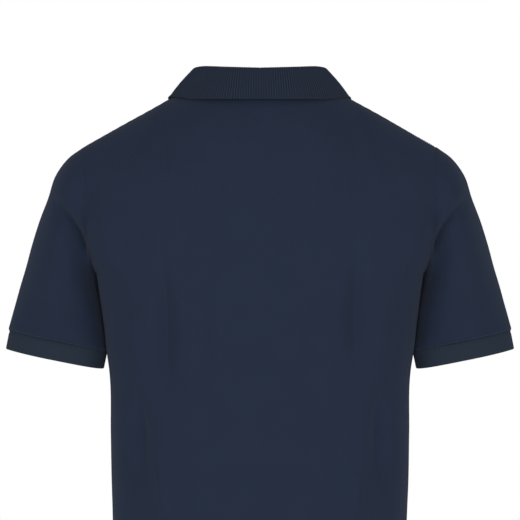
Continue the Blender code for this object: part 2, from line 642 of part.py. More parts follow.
def turned_button(name):
    """A round button with rounded edges and a raised rim, standing on z = 0."""
    rim, dish_z = BUTTON_RIM, BUTTON_THICKNESS - BUTTON_DISH
    profile = [(0.0, 0.0), (BUTTON_RADIUS - rim, 0.0), (BUTTON_RADIUS, rim),
               (BUTTON_RADIUS, BUTTON_THICKNESS - rim), (BUTTON_RADIUS - rim, BUTTON_THICKNESS),
               (BUTTON_RADIUS - 2 * rim, BUTTON_THICKNESS), (BUTTON_RADIUS - 3 * rim, dish_z),
               (0.0, dish_z)]
    work = bmesh.new()
    outline = [work.verts.new((x, 0.0, z)) for x, z in profile]
    for a, b in zip(outline, outline[1:]):
        work.edges.new((a, b))
    bmesh.ops.spin(work, geom=work.verts[:] + work.edges[:], axis=(0, 0, 1), cent=(0, 0, 0),
                   steps=BUTTON_STEPS, angle=2 * math.pi)
    bmesh.ops.remove_doubles(work, verts=work.verts, dist=1e-6)
    bmesh.ops.recalc_face_normals(work, faces=work.faces)
    mesh = bpy.data.meshes.new(name)
    work.to_mesh(mesh)
    work.free()
    mesh.shade_smooth()
    mesh.set_sharp_from_angle(angle=math.radians(SMOOTH_BUTTON))
    return mesh


def build_buttons(look):
    """Buttons seated on the upper band's middle line, square to it."""
    surface, normals = band_surface()
    line = (surface + (SEAM_GAP + CLOTH) * normals)[:, 2]
    for number, z in enumerate(BUTTON_HEIGHTS, start=1):
        under = [Vector((0.0, np.interp(at, line[:, 2], line[:, 1]), at))
                 for at in np.linspace(z - BUTTON_RADIUS, z + BUTTON_RADIUS, BUTTON_STEPS + 1)]
        middle = under[BUTTON_STEPS // 2]
        axis = (under[0] - under[-1]).cross(Vector((1.0, 0.0, 0.0))).normalized()
        seat = max((point - middle).dot(axis) for point in under) + SEAM_GAP
        turn = axis.to_track_quat("Z", "Y").to_matrix().to_4x4()
        button = place(f"button_{number}", turned_button(f"button_{number}"), look)
        button.matrix_world = Matrix.Translation(middle + seat * axis) @ turn
        holes = button.modifiers.new("holes", "BOOLEAN")
        holes.object = drill_for(f"drill_{number}", button.matrix_world.copy())
        holes.operation = "DIFFERENCE"
        holes.solver = "EXACT"


clear_scene()
PIECES = bpy.data.collections.new("polo_shirt")
CUTTERS = bpy.data.collections.new("cutters")
for group in (PIECES, CUTTERS):
    bpy.context.scene.collection.children.link(group)

cloth, facing = panels()
sleeve_grid = sleeve_surface()
sleeve_facing, sleeve_moves = join_armhole(cloth, facing, sleeve_grid)

pique = material("pique", NAVY, 0.90)
build_panels(cloth, facing, pique)
build_sleeves(sleeve_grid, sleeve_facing, sleeve_moves, pique)
rib_knit = material("rib_knit", NAVY_RIB, 0.92)
build_cuffs(rib_knit)
build_collar(cloth, facing, rib_knit)
build_placket(material("placket_pique", NAVY, 0.90))
build_buttons(material("button_plastic", BUTTON_NAVY, 0.35))
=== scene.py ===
"""Navy polo shirt, filled out as when worn, with no wearer, seen from behind.

Metres, +Z up. The front with its placket faces -Y, the back +Y, and the wearer's left is +X.
"""

import math

import bpy
import numpy as np
from mathutils import Matrix, Vector
from mathutils.bvhtree import BVHTree


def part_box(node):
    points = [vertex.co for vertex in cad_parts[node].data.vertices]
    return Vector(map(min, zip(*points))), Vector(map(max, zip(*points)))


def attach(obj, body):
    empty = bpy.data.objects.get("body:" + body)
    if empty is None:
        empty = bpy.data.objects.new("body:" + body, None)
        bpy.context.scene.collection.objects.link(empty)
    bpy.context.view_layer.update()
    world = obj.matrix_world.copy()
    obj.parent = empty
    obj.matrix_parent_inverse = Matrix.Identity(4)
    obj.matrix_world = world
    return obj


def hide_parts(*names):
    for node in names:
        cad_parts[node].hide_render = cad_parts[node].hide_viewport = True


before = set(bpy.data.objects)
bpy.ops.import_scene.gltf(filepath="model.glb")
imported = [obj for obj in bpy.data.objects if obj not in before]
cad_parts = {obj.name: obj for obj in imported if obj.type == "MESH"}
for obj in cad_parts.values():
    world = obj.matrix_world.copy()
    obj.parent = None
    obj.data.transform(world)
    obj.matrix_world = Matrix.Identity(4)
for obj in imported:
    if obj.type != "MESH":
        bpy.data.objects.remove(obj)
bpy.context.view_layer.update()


# ---- camera, floor and light ----------------------------------------------------------------
# The camera stands level, 3 m behind the shirt, and the floor is as far under the shirt as when
# it is worn. The room is white. A large soft lamp over the camera gives an even light, in which
# only what turns away from it is darker. Two weak lamps stand at the sides behind the shirt, and
# two more light its front.
CAMERA_DISTANCE = 3.0
VIEW_CENTRE_Z = -0.215
VIEW_WIDTH = 0.650           # of the picture, at the shirt's middle
FLOOR_Z = -1.35
FLOOR_HALF = 3.0
FLOOR_GREY, FLOOR_ROUGHNESS = (0.80, 0.80, 0.79, 1.0), 0.9
ROOM_WHITE = (1.0, 1.0, 1.0, 1.0)
ROOM_LIGHT = 0.385           # light from the white room, which itself looks fully white
LAMPS = {"behind": ((0.0, 3.6, 0.0), 1.4, 55.0),         # place, size in metres, watts
         "behind_left": ((2.9, 1.6, -0.1), 1.2, 3.0),
         "behind_right": ((-2.9, 1.6, -0.1), 1.2, 3.0),
         "before_left": ((1.9, -3.0, 0.5), 1.4, 30.0),
         "before_right": ((-2.3, -2.7, 0.2), 1.4, 18.0)}
LAMP_AIM = (0.0, 0.0, -0.25)


def put(name, data):
    """A new object with this data, in the scene."""
    made = bpy.data.objects.new(name, data)
    bpy.context.scene.collection.objects.link(made)
    return made


camera = bpy.data.cameras.new("camera")
camera.lens = camera.sensor_width * CAMERA_DISTANCE / VIEW_WIDTH
camera_stand = put("camera", camera)
camera_stand.location = (0.0, CAMERA_DISTANCE, VIEW_CENTRE_Z)
camera_stand.rotation_euler = (math.pi / 2, 0.0, math.pi)
bpy.context.scene.camera = camera_stand
bpy.context.scene.view_settings.view_transform = "Standard"

floor_mesh = bpy.data.meshes.new("floor")
floor_mesh.from_pydata([(x * FLOOR_HALF, y * FLOOR_HALF, FLOOR_Z)
                        for x, y in ((-1, -1), (1, -1), (1, 1), (-1, 1))], [], [(0, 1, 2, 3)])
floor = put("floor", floor_mesh)
floor_paint = bpy.data.materials.new("floor_paint")
floor_paint.use_nodes = True
floor_shader = floor_paint.node_tree.nodes["Principled BSDF"]
floor_shader.inputs["Base Color"].default_value = FLOOR_GREY
floor_shader.inputs["Roughness"].default_value = FLOOR_ROUGHNESS
floor_mesh.materials.append(floor_paint)

room = bpy.data.worlds.new("room")
bpy.context.scene.world = room
room.use_nodes = True
room_light = room.node_tree.nodes["Background"]
room_light.inputs["Color"].default_value = ROOM_WHITE
seen_directly = room.node_tree.nodes.new("ShaderNodeLightPath")
brightness = room.node_tree.nodes.new("ShaderNodeMapRange")
brightness.inputs["To Min"].default_value = ROOM_LIGHT
brightness.inputs["To Max"].default_value = 1.0
room.node_tree.links.new(seen_directly.outputs["Is Camera Ray"], brightness.inputs["Value"])
room.node_tree.links.new(brightness.outputs["Result"], room_light.inputs["Strength"])

for lamp_name, (place, size, power) in LAMPS.items():
    lamp = bpy.data.lights.new(lamp_name, "AREA")
    lamp.size = size
    lamp.energy = power
    lamp_stand = put(lamp_name, lamp)
    lamp_stand.location = place
    aim = Vector(LAMP_AIM) - Vector(place)
    lamp_stand.rotation_euler = aim.to_track_quat("-Z", "Y").to_euler()


# ---- back and front -------------------------------------------------------------------------
# Two panels of cotton pique, a knit of small raised cells. They are joined by overlocked side
# seams and by topstitched shoulder seams, and turned up at the hem. The front has a slit for
# the placket. Each is a thin shell on the form of its solid.
HEM_Z = -0.700
ARMPIT_Z = -0.232
SIDE_SEAM_Y = -0.002
CLOTH = 0.0012               # thickness of the pique
# Sections of the torso, which is a little fuller than an ellipse, from the hem to the armpits.
TORSO_COLUMNS = "z half_width back front middle power"
TORSO = [
    (-0.700, 0.1845, 0.1150, -0.1230, 0.004, 2.50),
    (-0.534, 0.1832, 0.1150, -0.1240, 0.004, 2.50),
    (-0.490, 0.1848, 0.1155, -0.1245, 0.005, 2.48),
    (-0.430, 0.1860, 0.1160, -0.1250, 0.006, 2.45),
    (-0.350, 0.1878, 0.1170, -0.1270, 0.008, 2.40),
    (-0.326, 0.1915, 0.1175, -0.1275, 0.008, 2.38),
    (-0.299, 0.1942, 0.1180, -0.1280, 0.009, 2.36),
    (-0.265, 0.1988, 0.1190, -0.1280, 0.010, 2.34),
    (-0.232, 0.2035, 0.1195, -0.1270, 0.012, 2.30),
]
SECTION_STEPS = 1500         # points that a section is measured with

NECK_HALF_WIDTH = 0.088
NECKLINE = {1: {"depth": 0.060, "drop": 0.014, "slope": 0.70},
            -1: {"depth": 0.066, "drop": 0.078, "slope": 0.00}}
SHOULDER_TIP = (0.2195, 0.004, -0.074)
NECK_SHARE = 0.40            # part of a panel's half width at the armpits that runs to the neck
ARRIVAL_AT_NECK_POINT = (-0.50, 0.80)        # how the cloth leans there, inward and forward
PULL_LOW, PULL_HIGH = 0.36, 0.31             # how far each end's direction reaches up a panel
NUDGE = 0.002                # step to each side when a slope is measured
SLIT_HALF_WIDTH = 0.0151

ARMHOLE_BACK = (0.215, 0.054, -0.150)
ARMHOLE_FRONT = (0.203, -0.048, -0.148)
ARMHOLE_SKEW = (-0.0029, 0.0, 0.0)

# Soft upright folds, as in the solids: x, z_low, z_high, width, depth.
FOLDS = {1: [
    (0.114, -0.396, -0.186, 0.020, -0.0035),
    (0.146, -0.510, -0.358, 0.018, -0.0030),
    (0.112, -0.560, -0.455, 0.016, 0.0045),
    (-0.114, -0.390, -0.180, 0.021, -0.0035),
    (-0.146, -0.505, -0.360, 0.017, -0.0030),
    (-0.112, -0.560, -0.455, 0.016, 0.0045),
], -1: [
    (0.118, -0.400, -0.215, 0.019, -0.0050),
    (0.150, -0.540, -0.390, 0.018, -0.0040),
    (0.070, -0.690, -0.500, 0.022, 0.0035),
    (-0.108, -0.375, -0.222, 0.018, -0.0045),
    (-0.147, -0.505, -0.350, 0.017, -0.0050),
    (-0.082, -0.640, -0.455, 0.021, 0.0030),
]}

# Finer creases, from one end to the other: x_from, z_from, x_to, z_to, width, depth.
CREASES = {1: [
    (0.117, -0.186, 0.113, -0.408, 0.0115, -0.0092),
    (0.149, -0.356, 0.143, -0.504, 0.0105, -0.0102),
    (0.067, -0.262, 0.064, -0.388, 0.0095, -0.0056),
    (0.172, -0.300, 0.166, -0.352, 0.0070, -0.0008),
    (0.127, -0.446, 0.104, -0.552, 0.0110, 0.0070),
    (0.082, -0.462, 0.078, -0.548, 0.0100, 0.0032),
    (-0.116, -0.172, -0.118, -0.390, 0.0125, -0.0096),
    (-0.145, -0.362, -0.147, -0.502, 0.0105, -0.0098),
    (-0.060, -0.270, -0.052, -0.396, 0.0115, -0.0044),
    (-0.168, -0.306, -0.164, -0.350, 0.0070, -0.0008),
    (-0.122, -0.458, -0.108, -0.556, 0.0105, 0.0056),
    (-0.084, -0.470, -0.086, -0.552, 0.0110, 0.0030),
    (0.010, -0.262, 0.004, -0.372, 0.0080, -0.0016),
    (0.060, -0.600, 0.074, -0.690, 0.0100, -0.0018),
    (-0.034, -0.622, -0.050, -0.694, 0.0090, -0.0014),
], -1: [
    (0.121, -0.226, 0.115, -0.424, 0.0115, -0.0074),
    (0.151, -0.398, 0.147, -0.548, 0.0100, -0.0070),
    (0.063, -0.268, 0.070, -0.372, 0.0105, -0.0036),
    (0.118, -0.566, 0.100, -0.690, 0.0110, -0.0050),
    (-0.113, -0.208, -0.121, -0.384, 0.0120, -0.0078),
    (-0.150, -0.362, -0.153, -0.524, 0.0100, -0.0066),
    (-0.058, -0.286, -0.049, -0.410, 0.0110, -0.0040),
    (-0.124, -0.584, -0.112, -0.692, 0.0100, -0.0044),
    (0.190, -0.206, 0.128, -0.252, 0.0085, -0.0034),
    (0.190, -0.240, 0.146, -0.300, 0.0075, -0.0026),
    (-0.190, -0.212, -0.134, -0.266, 0.0085, -0.0032),
    (-0.190, -0.250, -0.154, -0.306, 0.0070, -0.0022),
    (0.022, -0.246, 0.050, -0.306, 0.0080, -0.0022),
    (-0.020, -0.244, -0.038, -0.322, 0.0080, -0.0026),
]}
NARROW_END, WIDE_END = 0.6, 1.4              # of a crease's width
FOLD_ROUNDING = 0.14         # of a crease's bottom, as a share of its half width
# How the back stands out across the armholes, on the panel and the sleeve alike: a ridge in the
# same terms, and fullness as x, its reach, z, its reach and its height.
DRAPE = [(0.256, -0.120, 0.210, -0.204, 0.0090, 0.0022)]
BACK_FILLS = [(0.212, 0.060, -0.112, 0.042, 0.0050),
              (0.214, 0.056, -0.205, 0.090, 0.0100)]
SEAM_DIP = 0.0007            # how deep the cloth is drawn in at a seam
SEAM_REACH = 0.0022
ARMHOLE_DIP = 0.0002
PUCKER_DEPTH = 0.00022       # of the small waves along a seam
PUCKER_PITCH = 0.0105
PUCKER_REACH = 0.009
HEM_HEIGHT = 0.022
HEM_GROOVE, HEM_GROOVE_REACH = 0.0003, 0.0016        # along the hem's upper stitches
HEM_WAVE, HEM_WAVE_RUN, HEM_WAVE_HEIGHT = 0.0012, 0.017, 0.09    # the hem's swing in and out
SWELL, SWELL_PITCH = 0.0005, 0.05            # unevenness of the whole cloth
SHARP_EDGE = math.radians(55)                # edges sharper than this are not shaded smooth
COLUMN_SPANS = [(NECK_SHARE, 28), (0.62, 36), (1.0, 30)]     # up to this share, so many columns
SEAM_COLUMNS = np.array([0.0, 0.002, 0.004, 0.007, 0.011, 0.016])        # shares from a seam


def length(vectors):
    return np.linalg.norm(vectors, axis=-1)


def unit(vectors):
    return vectors / length(vectors)[..., None]


def steps(grid):
    """Lengths from each row of points to the next."""
    return length(np.diff(grid, axis=0))


def running(parts):
    """Running length at the start and after each part."""
    return np.concatenate([[0.0], np.cumsum(parts)])


def ordered(*parts):
    """Places in rising order, each once."""
    return np.unique(np.round(np.concatenate(parts), 6))


def smooth(at, places, values):
    """Read a smooth curve through a table: cubic pieces whose slopes match at the rows."""
    slopes = np.gradient(values, places, axis=0)
    left = np.clip(np.searchsorted(places, at) - 1, 0, len(places) - 2)
    step = places[left + 1] - places[left]
    t = np.clip((at - places[left]) / step, 0.0, 1.0)
    more = (1,) * (values.ndim - 1)
    step, t = step.reshape(step.shape + more), t.reshape(t.shape + more)
    return ((1 + 2 * t) * (1 - t) ** 2 * values[left] + t * (1 - t) ** 2 * step * slopes[left]
            + t * t * (3 - 2 * t) * values[left + 1] - t * t * (1 - t) * step * slopes[left + 1])


def read_table(columns, rows, at):
    names = columns.split()
    rows = np.array(rows, float)
    values = smooth(np.asarray(at, float), rows[:, 0], rows[:, 1:])
    return {name: values[..., i] for i, name in enumerate(names[1:])}


def bump(distance):
    """1 at 0 and down to 0 at 1 either way, with no kink."""
    return np.cos(np.clip(np.abs(distance), 0.0, 1.0) * np.pi / 2) ** 2


def fading(distance, reach):
    """1 at 0, and almost nothing from twice the reach on."""
    return np.exp(-(distance / reach) ** 2)


def section(z, side, shares):
    """The torso's section at height z, from x = 0 (share 0) to the side seam (share 1)."""
    row = read_table(TORSO_COLUMNS, TORSO, z)
    angle = np.linspace(0.0, np.pi, SECTION_STEPS + 1)
    across, along = np.sin(angle).clip(0.0), np.cos(angle)
    reach = np.where(along > 0, row["back"] - row["middle"], row["middle"] - row["front"])
    x = row["half_width"] * across ** (2 / row["power"])
    y = row["middle"] + reach * np.sign(along) * np.abs(along) ** (2 / row["power"])
    run = running(np.hypot(np.diff(x), np.diff(y)))
    seam = np.interp(-SIDE_SEAM_Y, -y, run)
    wanted = shares * seam if side > 0 else run[-1] - shares * (run[-1] - seam)
    return np.stack([np.interp(wanted, run, x), np.interp(wanted, run, y),
                     np.full_like(wanted, z)], axis=-1)


def neckline(turns, side):
    size = NECKLINE[side]
    angle = turns * np.pi / 2
    return np.stack([NECK_HALF_WIDTH * np.sin(angle), side * size["depth"] * np.cos(angle),
                     -size["drop"] * np.cos(angle) ** 2], axis=-1)


def slit_shares(side):
    """Where the slit's edge lies at the armpits and on the neckline."""
    ring = section(ARMPIT_Z, side, np.linspace(0.0, 1.0, SECTION_STEPS))
    at_neck = math.asin(SLIT_HALF_WIDTH / NECK_HALF_WIDTH) / (np.pi / 2)
    return SLIT_HALF_WIDTH / steps(ring).sum(), at_neck


def top_edge(shares, side):
    """Top edge of a half panel, and the direction in which its lines arrive there."""
    low, high = slit_shares(side)
    turns = np.interp(shares, [0.0, low, NECK_SHARE, 1.0], [0.0, high, 1.0, 2.0])
    neck_turn, shoulder_turn = turns.clip(0.0, 1.0), turns.clip(1.0, 2.0) - 1.0
    neck_point = np.array([NECK_HALF_WIDTH, 0.0, 0.0])
    seam = np.array(SHOULDER_TIP) - neck_point
    edge = np.where(turns[:, None] < 1.0, neckline(neck_turn, side),
                    neck_point + shoulder_turn[:, None] * seam)
    size = NECKLINE[side]
    sin, cos = np.sin(neck_turn * np.pi / 2), np.cos(neck_turn * np.pi / 2)
    slope = size["slope"] + (-seam[2] / seam[0] - size["slope"]) * sin ** 2
    rise = (2 * size["drop"] + slope * NECK_HALF_WIDTH) * cos / size["depth"]
    turned_in = neck_turn ** 2 * bump(2 * shoulder_turn)
    inward = ARRIVAL_AT_NECK_POINT[0] * turned_in
    forward = 1.0 + (ARRIVAL_AT_NECK_POINT[1] - 1.0) * turned_in
    return edge, unit(np.stack([inward, -side * forward, rise * forward - slope * sin * inward],
                               axis=-1))


def loop(top, back, under, front, skew, turn):
    """A closed loop through four points, at the given turns in degrees (0 top, 90 back)."""
    top, back, under, front, skew = (np.asarray(point, float) for point
                                     in (top, back, under, front, skew))
    angle = np.radians(turn)[:, None]
    middle = (top + under + back + front) / 4
    second = (top + under - back - front) / 4
    return (middle + (top - under) / 2 * np.cos(angle) + (back - front) / 2 * np.sin(angle)
            + second * np.cos(2 * angle) + skew * np.sin(2 * angle))


def armhole(turn):
    under = section(ARMPIT_Z, 1, np.array([1.0]))[0]
    return loop(SHOULDER_TIP, ARMHOLE_BACK, under, ARMHOLE_FRONT, ARMHOLE_SKEW, turn)


def panel_form(side, shares, heights, rises):
    """The panel's points with its soft folds, as rows from the hem up."""
    half = np.abs(shares)
    below = np.array([section(z, side, half) for z in heights]).reshape(-1, len(half), 3)
    start = section(ARMPIT_Z, side, np.append(half, 1.0))
    rising = unit(start - section(ARMPIT_Z - NUDGE, side, np.append(half, 1.0)))
    edge, lean = top_edge(np.append(half, 1.0), side)
    reach = length(edge - start)[:, None]
    low_handle = start + PULL_LOW * reach * rising
    high_handle = edge - PULL_HIGH * reach * lean
    t = rises[:, None, None]
    lines = ((1 - t) ** 3 * start + 3 * t * (1 - t) ** 2 * low_handle
             + 3 * t * t * (1 - t) * high_handle + t ** 3 * edge)
    turn = 180.0 * (1.0 - rises)
    hole = armhole(turn if side > 0 else 360.0 - turn)
    nearness = ((half - NECK_SHARE) / (1.0 - NECK_SHARE)).clip(0.0) ** 2
    above = lines[:, :-1] + nearness[None, :, None] * (hole - lines[:, -1])[:, None]
    form = np.concatenate([below, above])
    form[..., 0] *= np.where(shares < 0, -1.0, 1.0)
    for x, z_low, z_high, width, depth in FOLDS[side]:
        along = (form[..., 2] - (z_low + z_high) / 2) / ((z_high - z_low) / 2)
        form[..., 1] += side * depth * bump((form[..., 0] - x) / (2 * width)) * bump(along)
    return form


def fold(distance):
    """1 at 0 and down to 0 at 1 either way, falling fastest beside a narrow rounded middle."""
    rounded = ((np.sqrt(distance ** 2 + FOLD_ROUNDING ** 2) - FOLD_ROUNDING)
               / (math.sqrt(1.0 + FOLD_ROUNDING ** 2) - FOLD_ROUNDING))
    return (1.0 - rounded.clip(0.0, 1.0)) ** 2


def creases(points, table, profile=fold):
    """Depth of a table's creases at the points of a panel. Each widens from its first end."""
    depth = np.zeros(points.shape[:-1])
    for x_from, z_from, x_to, z_to, width, deep in table:
        run = np.array([x_to - x_from, z_to - z_from])
        off = points[..., [0, 2]] - np.array([x_from, z_from])
        along = off @ run / (run @ run)
        across = (off @ np.array([-run[1], run[0]])) / length(run)
        widening = width * (NARROW_END + (WIDE_END - NARROW_END) * along.clip(0.0, 1.0))
        depth += deep * profile(across / (2 * widening)) * bump(2 * along - 1)
    return depth


def backward(facing, early=0.0):
    """1 where cloth faces back, down to 0 where it turns to the side."""
    return (facing[..., 1] * 2.0 + early).clip(0.0, 1.0)


def draped(points, facing):
    """How far the back stands out about the armholes, where it faces back."""
    x, z = np.abs(points[..., 0]), points[..., 2]
    full = sum(height * bump((x - x_at) / x_reach) * bump((z - z_at) / z_reach)
               for x_at, x_reach, z_at, z_reach, height in BACK_FILLS)
    mirrored = np.stack([x, points[..., 1], z], axis=-1)
    return (full + creases(mirrored, DRAPE, bump)) * backward(facing)


def unevenness(points, pitch):
    """A gentle swell between -1 and 1 that doesn't repeat over the shirt."""
    x, y, z = (points[..., i] / pitch for i in range(3))
    return (np.sin(1.9 * x + 0.7 * z + 1.3) * np.sin(1.3 * z - 0.8 * x)
            + 0.5 * np.sin(3.1 * z + 2.3 * y + 0.4) * np.sin(2.9 * x + 1.1)) / 1.5


def from_seam(distance, run, dip=SEAM_DIP):
    """How far cloth moves out beside a seam, at a distance from it, run metres along it. Its
    puckers drift in length and strength, so no two are alike."""
    ripple = np.sin(2 * np.pi * run / PUCKER_PITCH + 2.0 * np.sin(run / 0.037))
    strength = 0.6 + 0.4 * np.sin(run / 0.023 + 1.0)
    return (PUCKER_DEPTH * strength * ripple * np.exp(-distance / PUCKER_REACH)
            - dip * fading(distance, SEAM_REACH))


def facing_of(grid, closed=False):
    """Normals of a grid, to the left of its columns as its rows go up."""
    if closed:
        wrapped = np.concatenate([grid[:, -1:], grid, grid[:, :1]], axis=1)
        across = wrapped[:, 2:] - wrapped[:, :-2]
    else:
        across = np.gradient(grid, axis=1)
    return unit(np.cross(across, np.gradient(grid, axis=0)))


def panel(side, shares, heights, rises):
    """The finished panel's outer points and normals."""
    form = panel_form(side, shares, heights, rises)
    low, high = (panel_form(side, shares, heights + move, (rises + move).clip(0.0, 1.0))
                 for move in (-NUDGE / 2, NUDGE / 2))
    left, right = (panel_form(side, (shares + move).clip(-1.0, 1.0), heights, rises)
                   for move in (-NUDGE / 2, NUDGE / 2))
    facing = -side * unit(np.cross(right - left, high - low))
    ends = panel_form(side, np.array([-1.0, 1.0]), heights, rises)
    top = panel_form(side, shares, heights[:0], np.array([1.0]))[0]
    moved = creases(form, CREASES[side]) + SWELL * unevenness(form, SWELL_PITCH)
    dips = np.where(np.arange(len(form)) < len(heights), SEAM_DIP, ARMHOLE_DIP)[:, None]
    for end in (0, 1):
        moved += from_seam(length(form - ends[:, end:end + 1]), form[..., 2], dips)
    to_shoulder = length(form - top)
    to_shoulder[:, np.abs(shares) < NECK_SHARE] = 1.0
    moved += from_seam(to_shoulder, form[..., 0])
    up = form[..., 2] - HEM_Z
    moved -= HEM_GROOVE * bump((up - HEM_HEIGHT) / HEM_GROOVE_REACH)
    moved += HEM_WAVE * np.sin(form[..., 0] / HEM_WAVE_RUN + side) * bump(up / HEM_WAVE_HEIGHT)
    made = form + moved[..., None] * facing
    if side > 0:
        made[..., 1] += draped(form, facing)
    return made, facing


def cloth_shell(name, outer, facing, thickness, look, closed=False, skip=None):
    """A thin closed shell under a grid of points, with a UV map in metres. A rim closes it
    wherever a quad has no neighbour."""
    rows, columns = outer.shape[:2]
    count = rows * columns
    points = np.concatenate([outer.reshape(-1, 3), (outer - thickness * facing).reshape(-1, 3)])
    spans = columns if closed else columns - 1
    r, c = np.meshgrid(np.arange(rows - 1), np.arange(spans), indexing="ij")
    keep = np.ones(r.shape, bool) if skip is None else ~skip
    r, c = r[keep], c[keep]
    d = (c + 1) % columns
    quads = np.stack([r * columns + c, r * columns + d, (r + 1) * columns + d,
                      (r + 1) * columns + c], axis=-1)
    edges = dict.fromkeys((quad[i - 1], quad[i]) for quad in quads.tolist() for i in (1, 2, 3, 0))
    rim = np.array([(b, a, a + count, b + count) for a, b in edges if (b, a) not in edges])
    faces = np.concatenate([quads, quads[:, ::-1] + count, rim]).tolist()
    mesh = bpy.data.meshes.new(name)
    mesh.from_pydata(points.tolist(), [], faces)
    u = running(length(np.roll(outer, -1, axis=1) - outer).mean(axis=0))
    v = running(steps(outer).mean(axis=1))
    corner = np.empty(len(mesh.loops), int)
    mesh.loops.foreach_get("vertex_index", corner)
    column = corner % count % columns
    seam_corner = np.repeat(np.concatenate([c, c, np.full(len(rim), -1)]) == columns - 1, 4)
    wrap = seam_corner & (column == 0) if closed else np.zeros(len(corner), bool)
    layer = mesh.uv_layers.new(name="weave")
    uv = np.stack([u[np.where(wrap, columns, column)], v[corner % count // columns]], axis=-1)
    layer.uv.foreach_set("vector", uv.astype(np.float32).ravel())
    mesh.validate()
    mesh.shade_smooth()
    mesh.set_sharp_from_angle(angle=SHARP_EDGE)
    mesh.materials.append(look)
    return put(name, mesh)


class Value:
    """An output socket of a node. Arithmetic on it adds Math nodes."""

    def __init__(self, graph, socket):
        self.graph, self.socket = graph, socket

    def math(self, operation, first, second):
        return self.graph.node("ShaderNodeMath", {"operation": operation}, {0: first, 1: second})

    def __add__(self, other):
        return self.math("ADD", self, other)

    def __sub__(self, other):
        return self.math("SUBTRACT", self, other)

    def __mul__(self, other):
        return self.math("MULTIPLY", self, other)

    __radd__, __rmul__ = __add__, __mul__


class Graph:
    """Nodes of a material, or of a Geometry Nodes tree."""

    def __init__(self, tree):
        self.tree = tree

    def node(self, kind, settings, sockets, output=0):
        """An output of a new node with these settings and inputs."""
        made = self.tree.nodes.new(kind)
        for name, value in settings.items():
            setattr(made, name, value)
        for name, value in sockets.items():
            self.join(value, made.inputs[name])
        return Value(self, made.outputs[output])

    def join(self, value, socket):
        if isinstance(value, Value):
            self.tree.links.new(value.socket, socket)
        else:
            socket.default_value = value

    def wave(self, kind, angle):
        return self.node("ShaderNodeMath", {"operation": kind}, {0: angle})


class Look(Graph):
    """A material, built from nodes that feed its Principled shader."""

    def __init__(self, name, constants):
        self.material = bpy.data.materials.new(name)
        self.material.use_nodes = True
        super().__init__(self.material.node_tree)
        self.shader = self.tree.nodes["Principled BSDF"]
        for socket, value in constants.items():
            self.shader.inputs[socket].default_value = value

    def weave(self, output):
        """Metres across the cloth (output 0) or along it (output 1)."""
        lengths = self.node("ShaderNodeUVMap", {"uv_map": "weave"}, {})
        return self.node("ShaderNodeSeparateXYZ", {}, {0: lengths}, output)

    def noise(self, **sizes):
        place = self.node("ShaderNodeTexCoord", {}, {}, 3)
        return self.node("ShaderNodeTexNoise", {}, {"Vector": place, **sizes})

    def wear(self, share, dark, light, **sockets):
        """Colours from dark to light by the share, and values for the shader's other sockets."""
        dyed = self.node("ShaderNodeMix", {"data_type": "RGBA"},
                         {0: share, 6: (*dark, 1.0), 7: (*light, 1.0)}, 2)
        for name, value in {"Base Color": dyed, **sockets}.items():
            self.join(value, self.shader.inputs[name])
        return self.material


# The nap of cotton: a soft sheen, and no gloss.
NAP = {"Sheen Weight": 0.070, "Sheen Roughness": 0.5, "Specular IOR Level": 0.0}
FUZZ = {"Scale": 900.0, "Detail": 3.0, "Roughness": 0.6}


def shades(colour, spread):
    """A colour made darker, and lighter, by a share of itself."""
    return [tuple(channel * share for channel in colour) for share in (1 - spread, 1 + spread)]


def pique_look(name, colour, cell_across, cell_along, relief):
    """Cotton pique: rows of small raised cells, each row half a cell on from the last, with a
    faint mottle of the dye and a thin nap."""
    look = Look(name, {**NAP, "Sheen Tint": (0.75, 0.82, 0.95, 1.0)})
    across = look.wave("SINE", look.weave(0) * (math.pi / cell_across))
    along = look.wave("SINE", look.weave(1) * (math.pi / cell_along))
    cells = across * along
    fuzz = look.noise(**FUZZ)
    dye = look.noise(Scale=26.0, Detail=4.0, Roughness=0.55)
    shade = 0.42 + 0.10 * cells * cells + (fuzz - 0.5) * 0.30 + (dye - 0.5) * 0.35
    raised = cells * 0.5 + (fuzz - 0.5) * 0.5
    normal = look.node("ShaderNodeBump", {}, {"Strength": 0.55, "Distance": relief,
                                              "Height": raised})
    return look.wear(shade, *shades(colour, 0.20), Roughness=0.86 + (fuzz - 0.5) * 0.10,
                     Normal=normal)


def panel_columns(side):
    """Shares of a panel's columns, closer together beside its seams and the slit."""
    first = slit_shares(side)[0] if side < 0 else 0.0
    starts = [first] + [share for share, count in COLUMN_SPANS]
    half = np.concatenate([np.linspace(start, share, count) for start, (share, count)
                           in zip(starts, COLUMN_SPANS)] + [1.0 - SEAM_COLUMNS])
    if side < 0:
        half = np.concatenate([[0.0], half, first + SEAM_COLUMNS[1:-1]])
    half = ordered(half)
    return np.concatenate([-half[:0:-1], half])


# A panel's rows: heights up to the armpits, then shares of the rise from there to its top edge.
HEIGHTS = ordered(np.linspace(HEM_Z, ARMPIT_Z, 112, endpoint=False),
                  HEM_Z + HEM_HEIGHT + HEM_GROOVE_REACH * np.linspace(-1.0, 1.0, 5))
RISES = ordered(np.linspace(0.0, 1.0, 84), 1.0 - np.array([0.003, 0.006, 0.010, 0.015]))
NAVY = (0.0236, 0.0336, 0.0618)

